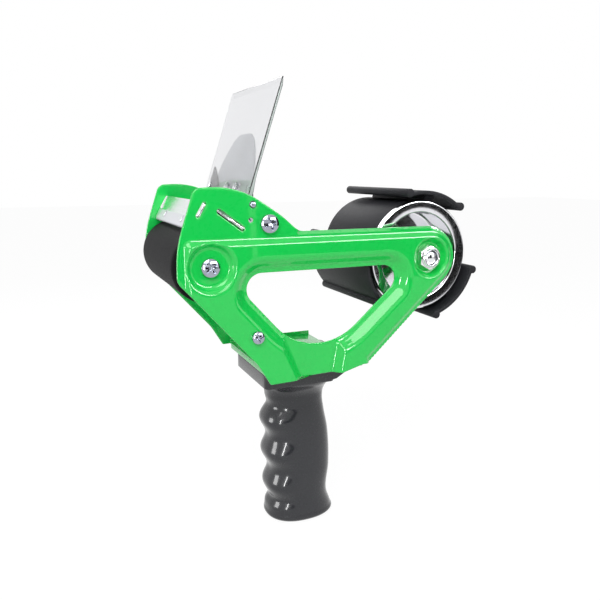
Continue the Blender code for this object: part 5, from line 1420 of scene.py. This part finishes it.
def drum_surfaces():
    """The drum: a notched ring carried across the frame, and a turned web with its boss and rebate."""
    near = CUP_NEAR + CUP_SHEET + SEAT_GAP
    step = CUP_NEAR + LIP_DEPTH + SEAT_GAP
    far, wall = near + DRUM_LENGTH, DRUM_RADIUS - DRUM_WALL
    half, foot = PAD_STEM_WIDTH / 2 + SEAT_GAP, DRUM_RADIUS - PAD_KEY_DEPTH - SEAT_GAP
    bite = math.asin(half / DRUM_RADIUS)
    corner, reach = math.atan2(half, foot), math.hypot(half, foot)
    stops = sorted(a % (2 * math.pi) for a in PAD_ANGLES)
    parts = []
    for angle, after in zip(stops, [*stops[1:], stops[0] + 2 * math.pi]):
        turns = np.array((angle - corner, angle + corner))
        parts.append(reach * np.column_stack([np.cos(turns), np.sin(turns)]))
        parts.append(arc((0, 0), DRUM_RADIUS, angle + bite, after - angle - 2 * bite, FINE_STEP))
    bore = [circle((0, 0), wall, BORE_COLUMNS)]
    shell = prism(np.vstack(parts), step, far, side_plane(HUB), MOULD_EDGE, bore, DRUM_POINTS)
    web, boss = CUP_NEAR + CUP_DEPTH + SEAT_GAP, -HUB_PLATE_INSIDE + 2 * SEAT_GAP + WASHER_SHEET
    rebate, bolt = LIP_RADIUS - CUP_SHEET - SEAT_GAP, BOLT_RADIUS + SEAT_GAP
    lapped, ledge = wall + DRUM_OVERLAP, step + DRUM_OVERLAP
    corners = [
        (bolt, boss), (SLEEVE_RADIUS, boss), (SLEEVE_RADIUS, web), (wall, web), (wall, near), (rebate, near),
        (rebate, ledge), (lapped, ledge), (lapped, web + DRUM_WEB), (bolt, web + DRUM_WEB),
    ]
    outline = rounded([(r, w, RIM_EDGE) for r, w in corners], ROUGH_STEP)
    return joined(shell, turned(outline, side_plane(HUB), DRUM_COLUMNS, True))


def cup_surface():
    """Polished pressing: rolled lip, flat ring, deep bore with a rounded floor, pierced for the boss."""
    near, thin, lip = CUP_NEAR, CUP_SHEET, CUP_NEAR + LIP_DEPTH
    floor, hole = near + CUP_DEPTH, SLEEVE_RADIUS + SEAT_GAP
    corners = [
        (LIP_RADIUS, near, CUP_LIP_BEND), (LIP_RADIUS, lip, RIM_EDGE), (LIP_RADIUS - thin, lip, RIM_EDGE),
        (LIP_RADIUS - thin, near + thin, SHEET_EDGE), (CUP_RADIUS, near + thin + CUP_DISHING, CUP_RING_BEND),
        (CUP_RADIUS, floor, CUP_FLOOR_BEND), (hole, floor, RIM_EDGE), (hole, floor - thin, RIM_EDGE),
        (CUP_RADIUS - thin, floor - thin, CUP_UNDER_BEND),
        (CUP_RADIUS - thin, near + CUP_DISHING, CUP_THROAT_BEND),
    ]
    return turned(divided(rounded(corners, CUP_STEP), CUP_RUN), side_plane(HUB), CUP_COLUMNS, True)


def pad_surface(angle):
    """A springy pad: an arc of sheet with a round bead along each edge, carried across the frame."""
    half = PAD_HALF_ANGLE
    bite = 2 * math.asin(PAD_BEAD_RADIUS / (2 * PAD_RADIUS))
    outer = arc((0, 0), PAD_RADIUS, bite - half, 2 * (half - bite), FINE_STEP)
    upper = (PAD_RADIUS * math.cos(half), PAD_RADIUS * math.sin(half))
    bead = arc(upper, PAD_BEAD_RADIUS, half - math.pi / 2 - bite / 2, math.pi * 3 / 2 + bite / 2, BEND_STEP)
    under = arc((0, 0), PAD_RADIUS - PAD_SHEET, half, -2 * half, FINE_STEP)
    outline = np.vstack([outer[1:-1], bead, under[1:-1], bead[::-1] * (1, -1)])
    near = CUP_NEAR + CUP_SHEET - PAD_NEAR_REACH
    end = CUP_NEAR + CUP_SHEET + SEAT_GAP + DRUM_LENGTH
    cosine, sine = math.cos(angle), math.sin(angle)
    where = plane((HUB_BACK, 0, HUB_HEIGHT), (cosine, 0, sine), (-sine, 0, cosine), ACROSS)
    wing = prism(outline, near, end + PAD_FAR_REACH, where, PAD_EDGE, (), PAD_POINTS)
    foot, width = DRUM_RADIUS - PAD_KEY_DEPTH, PAD_STEM_WIDTH / 2
    stem = box_outline(foot, -width, PAD_RADIUS - PAD_SHEET / 2, width, MOULD_EDGE)
    return joined(wing, prism(stem, CUP_NEAR + LIP_DEPTH + 2 * SEAT_GAP, end + PAD_STEM_INSET, where))


class DISPENSER_OT_hub(Operator):
    """Drum, polished cup and the three core pads"""

    bl_idname = "dispenser.hub"
    bl_label = "Hub"

    def execute(self, context):
        piece("hub_drum_moulding", drum_surfaces(), "hub_moulding", "hub_drum", "hub")
        piece("hub_cup_pressing", cup_surface(), "polished_steel", "hub_cup", "hub")
        for k, angle in enumerate(PAD_ANGLES):
            name = f"core_pad_{k + 1}"
            piece(f"{name}_moulding", pad_surface(angle), "hub_moulding", name, "hub")
        return {"FINISHED"}


def lock_nut(where):
    """A hexagon with both ends chamfered, then a round rolled collar, about a plain bore."""
    height, bore, collar = NUT_HEIGHT, BOLT_RADIUS + HOLE_GAP, NUT_COLLAR_RADIUS
    shoulder, rise = height * NUT_HEX_SHARE, (HEX_REACH - HEX_FLAT) / 2
    profile = [
        (bore, NUT_BREAK), (bore + NUT_BREAK, 0), (HEX_FLAT * NUT_FACE_SHARE, 0), (HEX_REACH, rise),
        (HEX_REACH, shoulder - rise * NUT_SHOULDER_RISE), (HEX_FLAT * NUT_SHOULDER_SHARE, shoulder),
        (collar + NUT_BREAK, shoulder), (collar, shoulder + NUT_BREAK),
        *((collar - inset, height - drop) for inset, drop in NUT_ROLL),
        *((bore + inset, height - drop) for inset, drop in NUT_THROAT),
    ]
    fine = divided(np.array(profile), NUT_RUN)
    return turned(fine, where, NUT_COLUMNS, True, lambda radii, angles, _: hexagon_radius(radii, angles))


def hub_bolt(where, end, head_low):
    """A bolt along w: threaded to its chamfered end, a plain shank and a chamfered hexagon head.

    The thread lowers the radius by a triangle wave of the place across less the turn's share."""
    rows = np.linspace(end + THREAD_START, end + THREAD_RUN, 150)
    high, chamfer = head_low + BOLT_HEAD_HEIGHT, HEX_FLAT * BOLT_FACE_SHARE
    profile = np.vstack([
        [(0, end), *((BOLT_RADIUS - inset, end + rise) for inset, rise in BOLT_TIP)],
        np.column_stack([np.full(len(rows), BOLT_RADIUS), rows]),
        [(BOLT_RADIUS, end + THREAD_RUN + BOLT_UNDER_BREAK), (BOLT_RADIUS, head_low), (chamfer, head_low)],
        [(HEX_REACH, head_low + BOLT_UNDER_BREAK), (HEX_REACH, high - BOLT_TOP_BREAK), (chamfer, high)],
        [(HEX_FLAT / 2, high), (0, high)],
    ])

    def radius(radii, angles, across):
        wave = np.abs(((across / THREAD_PITCH - angles / (2 * math.pi)) % 1) * 2 - 1)
        threaded = (across > end + THREAD_GUARD) & (across < end + THREAD_RUN)
        return hexagon_radius(radii, angles) - np.where(threaded, THREAD_DEPTH * wave, 0)

    return turned(profile, where, FIXING_COLUMNS, False, radius)


def washer(bore, radius, low, where, edge=RIM_EDGE):
    high = low + WASHER_SHEET
    corners = [(r, w, edge) for r, w in ((bore, low), (radius, low), (radius, high), (bore, high))]
    return turned(rounded(corners, WASHER_STEP), where, FIXING_COLUMNS, True)


class DISPENSER_OT_hub_fixings(Operator):
    """Bolt and lock nut, and the brake's felt, washer and spring"""

    bl_idname = "dispenser.hub_fixings"
    bl_label = "Hub Fixings"

    def execute(self, context):
        where, bore = side_plane(HUB), BOLT_RADIUS + HOLE_GAP
        nut_low = HUB_PLATE_INSIDE + context.scene.dispenser_plates.sheet + SEAT_GAP
        nut = lock_nut(on_plane(side_plane(HUB, -1), 0, 0, nut_low))
        piece("hub_lock_nut_turning", nut, "bright_plating", "hub_lock_nut")
        felt = washer(bore, BRAKE_RADIUS, -HUB_PLATE_INSIDE + SEAT_GAP, where, MOULD_EDGE)
        piece("brake_felt", felt, "pressed_felt", "brake_washer")
        spring_low = CUP_NEAR + CUP_DEPTH + 2 * SEAT_GAP + DRUM_WEB
        washer_low = spring_low + BRAKE_SPRING_LENGTH + SEAT_GAP
        ring = washer(bore, WASHER_RADIUS, washer_low, where)
        piece("hub_washer_ring", ring, "bright_plating", "hub_washer")
        bolt = hub_bolt(where, BOLT_INSET - nut_low - NUT_HEIGHT, washer_low + WASHER_SHEET + SEAT_GAP)
        piece("hub_bolt_turning", bolt, "bright_plating", "hub_bolt")
        turns = np.linspace(0, BRAKE_SPRING_TURNS * 2 * math.pi, BRAKE_SPRING_TURNS * 48)
        rise = (BRAKE_SPRING_LENGTH - BRAKE_SPRING_WIRE) * turns / turns[-1]
        across = spring_low + BRAKE_SPRING_WIRE / 2 + rise
        x, z = (centre + BRAKE_SPRING_RADIUS * f(turns) for centre, f in zip(HUB, (np.cos, np.sin)))
        wire = tube(np.column_stack([x, across, z]), BRAKE_SPRING_WIRE / 2)
        piece("brake_spring_wire", wire, "bright_plating", "brake_spring")
        return {"FINISHED"}


# Saddle and grip


class DISPENSER_OT_saddle(Operator):
    """Channel between the plates that carries the grip"""

    bl_idname = "dispenser.saddle"
    bl_label = "Saddle"

    def execute(self, context):
        thickness = context.scene.dispenser_plates.sheet
        half, top, rise = PANEL_INSIDE - SEAT_GAP, SADDLE_TOP, SADDLE_TOP + SADDLE_FLANGE
        right = [
            (half, top - thickness, SADDLE_BEND), (half, rise, RIM_EDGE), (half - thickness, rise, RIM_EDGE),
            (half - thickness, top, SADDLE_INNER_BEND),
        ]
        where, outline = plane((0, 0, 0), ACROSS, UPWARD, ALONG), rounded(mirrored(right), SADDLE_STEP)
        channel = prism(outline, SADDLE_FRONT, SADDLE_BACK, where, SHEET_EDGE, (), SADDLE_POINTS)
        side = half - SADDLE_LIP
        lip = box_outline(-side, top - thickness - SADDLE_LIP, side, top - thickness / 2, LIP_BEND)
        fold = prism(lip, SADDLE_FRONT, SADDLE_FRONT + thickness, where, RIM_EDGE, (), SADDLE_POINTS)
        piece("saddle_channel", joined(channel, fold), "gloss_enamel", "handle_saddle")
        return {"FINISHED"}


def grip_surface(sizes):
    """The grip's skin over height and turn: a superellipse whose reaches follow smooth curves.

    At each height the section is sign(c)|c|^(2/n) times the reach, and a cosine of the height
    pushes the front out at each ridge and in at each finger groove."""
    levels = np.linspace(0, 1, GRIP_ROWS)
    front, back, wide, square = cubic_rows(GRIP_SECTION_SHARES, levels).T[..., None]
    turns = np.linspace(0, 2 * math.pi, GRIP_COLUMNS, endpoint=False)
    height = BLOCK_BOTTOM * levels[:, None]
    low, high, pitch = sizes.wave_low, sizes.finger_top, sizes.finger_pitch
    fade = smooth_step(height, low - WAVE_FADE[0], low + WAVE_FADE[1])
    fade = fade * (1 - smooth_step(height, *(high + pitch * share for share in RIDGE_FADE)))
    wave = sizes.finger_wave * np.cos(2 * math.pi * (height - high) / pitch) * fade
    cosine, sine = np.cos(turns)[None], np.sin(turns)[None]
    reach = np.where(cosine > 0, back, front) * sizes.half_depth
    x = np.sign(cosine) * np.abs(cosine) ** (2 / square) * reach
    y = np.sign(sine) * np.abs(sine) ** (2 / square) * wide * sizes.half_width
    x = x - wave * smooth_step(-cosine, *WAVE_FRONT)
    y = y * (1 + wave / sizes.half_width / 2 * smooth_step(-cosine, *WAVE_SIDES))
    base = 1 - rim_drop(height, GRIP_FOOT_ROUND) / sizes.half_depth
    grid = np.stack([x * base, y * base, np.repeat(height, len(turns), axis=1)], -1)
    grid = np.concatenate([grid, grid[-1:] + (0, 0, BLOCK_CORNER)])
    return skin(grid, ((0, 0, 0), (0, 0, BLOCK_BOTTOM + BLOCK_CORNER)))


class DISPENSER_OT_grip(Operator):
    """Moulded pistol grip, the block under the saddle and the two screws that hold it"""

    bl_idname = "dispenser.grip"
    bl_label = "Grip"

    def execute(self, context):
        thickness = context.scene.dispenser_plates.sheet
        ceiling = SADDLE_TOP - thickness - SEAT_GAP
        where = plane((0, 0, 0), ALONG, ACROSS, UPWARD)
        lip, under_lip = SADDLE_FRONT + thickness + 2 * SEAT_GAP, ceiling - SADDLE_LIP - SEAT_GAP
        wide, inner = BLOCK_HALF_WIDTH, BLOCK_HALF_WIDTH - BLOCK_SIDE_STEP
        front, lap = SADDLE_FRONT + BLOCK_INSET, BLOCK_TAPER_START + BLOCK_LAP
        low = box_outline(front, -inner, lap, inner, BLOCK_CORNER)
        high = box_outline(lip, -wide, BLOCK_BACK, wide, BLOCK_CORNER)
        slope = BLOCK_TAPER_RISE / (BLOCK_BACK - BLOCK_TAPER_START)

        def taper(places):
            return BLOCK_BOTTOM + np.maximum(BLOCK_STEP, slope * (places[:, 0] - BLOCK_TAPER_START))

        block = joined(
            prism(low, BLOCK_BOTTOM, under_lip, where, BLOCK_EDGE, (), BLOCK_POINTS),
            sheet(high, [], level(ceiling), taper, where, MOULD_EDGE, TAPER_POINTS),
        )
        surface = grip_surface(context.scene.dispenser_grip)
        piece("grip_moulding_body", surface, "grip_moulding", "grip")
        piece("grip_block_body", block, "grip_moulding", "grip")
        for name, along in GRIP_SCREWS:
            seat = plane((along, 0, SADDLE_TOP + SEAT_GAP), ALONG, ACROSS, UPWARD)
            piece(f"{name}_head", screw(GRIP_SCREW, seat, along * GRIP_SCREW_TURN), "screw_plating", name)
        return {"FINISHED"}


# Studio


def placed_object(name, data, place, facing):
    """Links an object to the scene, at its place and looking along a direction."""
    made = bpy.data.objects.new(name, data)
    bpy.context.scene.collection.objects.link(made)
    made.location = place
    made.rotation_mode = "QUATERNION"
    made.rotation_quaternion = Vector(facing).to_track_quat("-Z", "Y")
    return made


def hide_from(item, *rays):
    for ray in rays:
        setattr(item, f"visible_{ray}", False)


def softbox(name, place, width, height, power):
    data = bpy.data.lights.new(name, "AREA")
    data.shape = "RECTANGLE"
    data.size, data.size_y, data.energy = width, height, power
    return placed_object(name, data, place, Vector(MIDDLE) - Vector(place))


def matt(name, colour):
    return shader_of(name, {"Base Color": (*colour, 1), "Roughness": 1, "Specular IOR Level": 0})


def rectangle(name, width, height, material):
    """A flat mesh about the origin, facing up."""
    mesh = bpy.data.meshes.new(name)
    corners = np.array([(-1, -1, 0), (1, -1, 0), (1, 1, 0), (-1, 1, 0)]) * (width / 2, height / 2, 0)
    mesh.from_pydata(corners.tolist(), [], [(0, 1, 2, 3)])
    mesh.materials.append(material)
    return mesh


def seen_white(tree):
    """One where a ray comes from the camera, a mirror or clear plastic, and zero elsewhere."""
    path = tree.nodes.new("ShaderNodeLightPath")
    total = path.outputs["Is Camera Ray"]
    for output in ("Is Glossy Ray", "Is Transmission Ray"):
        add = tree.nodes.new("ShaderNodeMath")
        add.operation = "MAXIMUM"
        tree.links.new(total, add.inputs[0])
        tree.links.new(path.outputs[output], add.inputs[1])
        total = add.outputs[0]
    return total


def backdrop_material(settings, colour):
    """Matt floor that shows nearly white to the camera, so that only a soft shadow is left."""
    made, tree, shader = matt("studio_floor", colour)
    glow = tree.nodes.new("ShaderNodeEmission")
    glow.inputs["Strength"].default_value = settings.white * FLOOR_GLOW
    mix = tree.nodes.new("ShaderNodeMixShader")
    share = tree.nodes.new("ShaderNodeMath")
    share.operation = "MULTIPLY"
    share.inputs[1].default_value = FLOOR_GLOW_SHARE
    tree.links.new(seen_white(tree), share.inputs[0])
    tree.links.new(share.outputs[0], mix.inputs["Fac"])
    tree.links.new(shader.outputs["BSDF"], mix.inputs[1])
    tree.links.new(glow.outputs["Emission"], mix.inputs[2])
    tree.links.new(mix.outputs["Shader"], tree.nodes["Material Output"].inputs["Surface"])
    return made


def studio_world(settings):
    world = bpy.data.worlds.new("studio")
    world.use_nodes = True
    tree = world.node_tree
    background = tree.nodes["Background"]
    background.inputs["Color"].default_value = (1, 1, 1, 1)
    spread = tree.nodes.new("ShaderNodeMapRange")
    spread.inputs["To Min"].default_value = settings.world
    spread.inputs["To Max"].default_value = settings.white
    tree.links.new(seen_white(tree), spread.inputs["Value"])
    tree.links.new(spread.outputs["Result"], background.inputs["Strength"])
    bpy.context.scene.world = world


class DISPENSER_OT_studio(Operator):
    """Floor, surroundings, soft lights and the camera"""

    bl_idname = "dispenser.studio"
    bl_label = "Studio"

    def execute(self, context):
        scene = context.scene
        settings = scene.dispenser_studio
        scene.view_settings.view_transform = "Standard"
        data = bpy.data.cameras.new("photo_camera")
        data.sensor_width, data.lens, data.clip_start = SENSOR_WIDTH, LENS, CLIP_START
        scene.camera = placed_object("photo_camera", data, CAMERA_PLACE, CAMERA_AIM)
        floor = backdrop_material(settings, scene.dispenser_colours.floor)
        mesh = rectangle("studio_floor", FLOOR_WIDTH, FLOOR_WIDTH, floor)
        ground = bpy.data.objects.new("studio_floor", mesh)
        scene.collection.objects.link(ground)
        studio_world(settings)
        for name, place, width, height in SOFTBOXES:
            softbox(name, place, width, height, getattr(settings, name.split("_")[0]))
        for name, place, width, height, share in SHINES:
            strip = softbox(name, place, width, height, settings.shine * share)
            hide_from(strip, "camera", "diffuse", "transmission")
        for name, place, width, height in CARDS:
            mesh = rectangle(name, width, height, matt(name, CARD_COLOUR)[0])
            card = placed_object(name, mesh, place, Vector(MIDDLE) - Vector(place))
            hide_from(card, "camera", "diffuse", "shadow", "transmission")
        return {"FINISHED"}


class DISPENSER_PT_pieces(Panel):
    """Lists the pieces and their sizes in the sidebar"""

    bl_label = "Tape Dispenser"
    bl_space_type = "VIEW_3D"
    bl_region_type = "UI"
    bl_category = "Dispenser"

    def draw(self, context):
        for operator in OPERATORS:
            self.layout.operator(operator.bl_idname)
        for group in SETTINGS:
            box = self.layout.box()
            settings = getattr(context.scene, group)
            for name in settings.__annotations__:
                box.prop(settings, name)


SETTINGS = {
    "dispenser_plates": PlateSizes,
    "dispenser_grip": GripSizes,
    "dispenser_colours": FinishColours,
    "dispenser_studio": StudioSettings,
}
OPERATORS = (
    DISPENSER_OT_side_plates,
    DISPENSER_OT_rods_and_screws,
    DISPENSER_OT_roller,
    DISPENSER_OT_cutting_head,
    DISPENSER_OT_flap,
    DISPENSER_OT_flap_fittings,
    DISPENSER_OT_hub,
    DISPENSER_OT_hub_fixings,
    DISPENSER_OT_saddle,
    DISPENSER_OT_grip,
    DISPENSER_OT_studio,
)


def register():
    for item in (*SETTINGS.values(), *OPERATORS, DISPENSER_PT_pieces):
        bpy.utils.register_class(item)
    for name, group in SETTINGS.items():
        setattr(bpy.types.Scene, name, PointerProperty(type=group))


def unregister():
    for name in SETTINGS:
        delattr(bpy.types.Scene, name)
    for item in reversed((*SETTINGS.values(), *OPERATORS, DISPENSER_PT_pieces)):
        bpy.utils.unregister_class(item)


def main():
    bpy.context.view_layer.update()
    register()
    for operator in OPERATORS:
        group, name = operator.bl_idname.split(".")
        getattr(getattr(bpy.ops, group), name)()


if __name__ == "__main__":
    main()
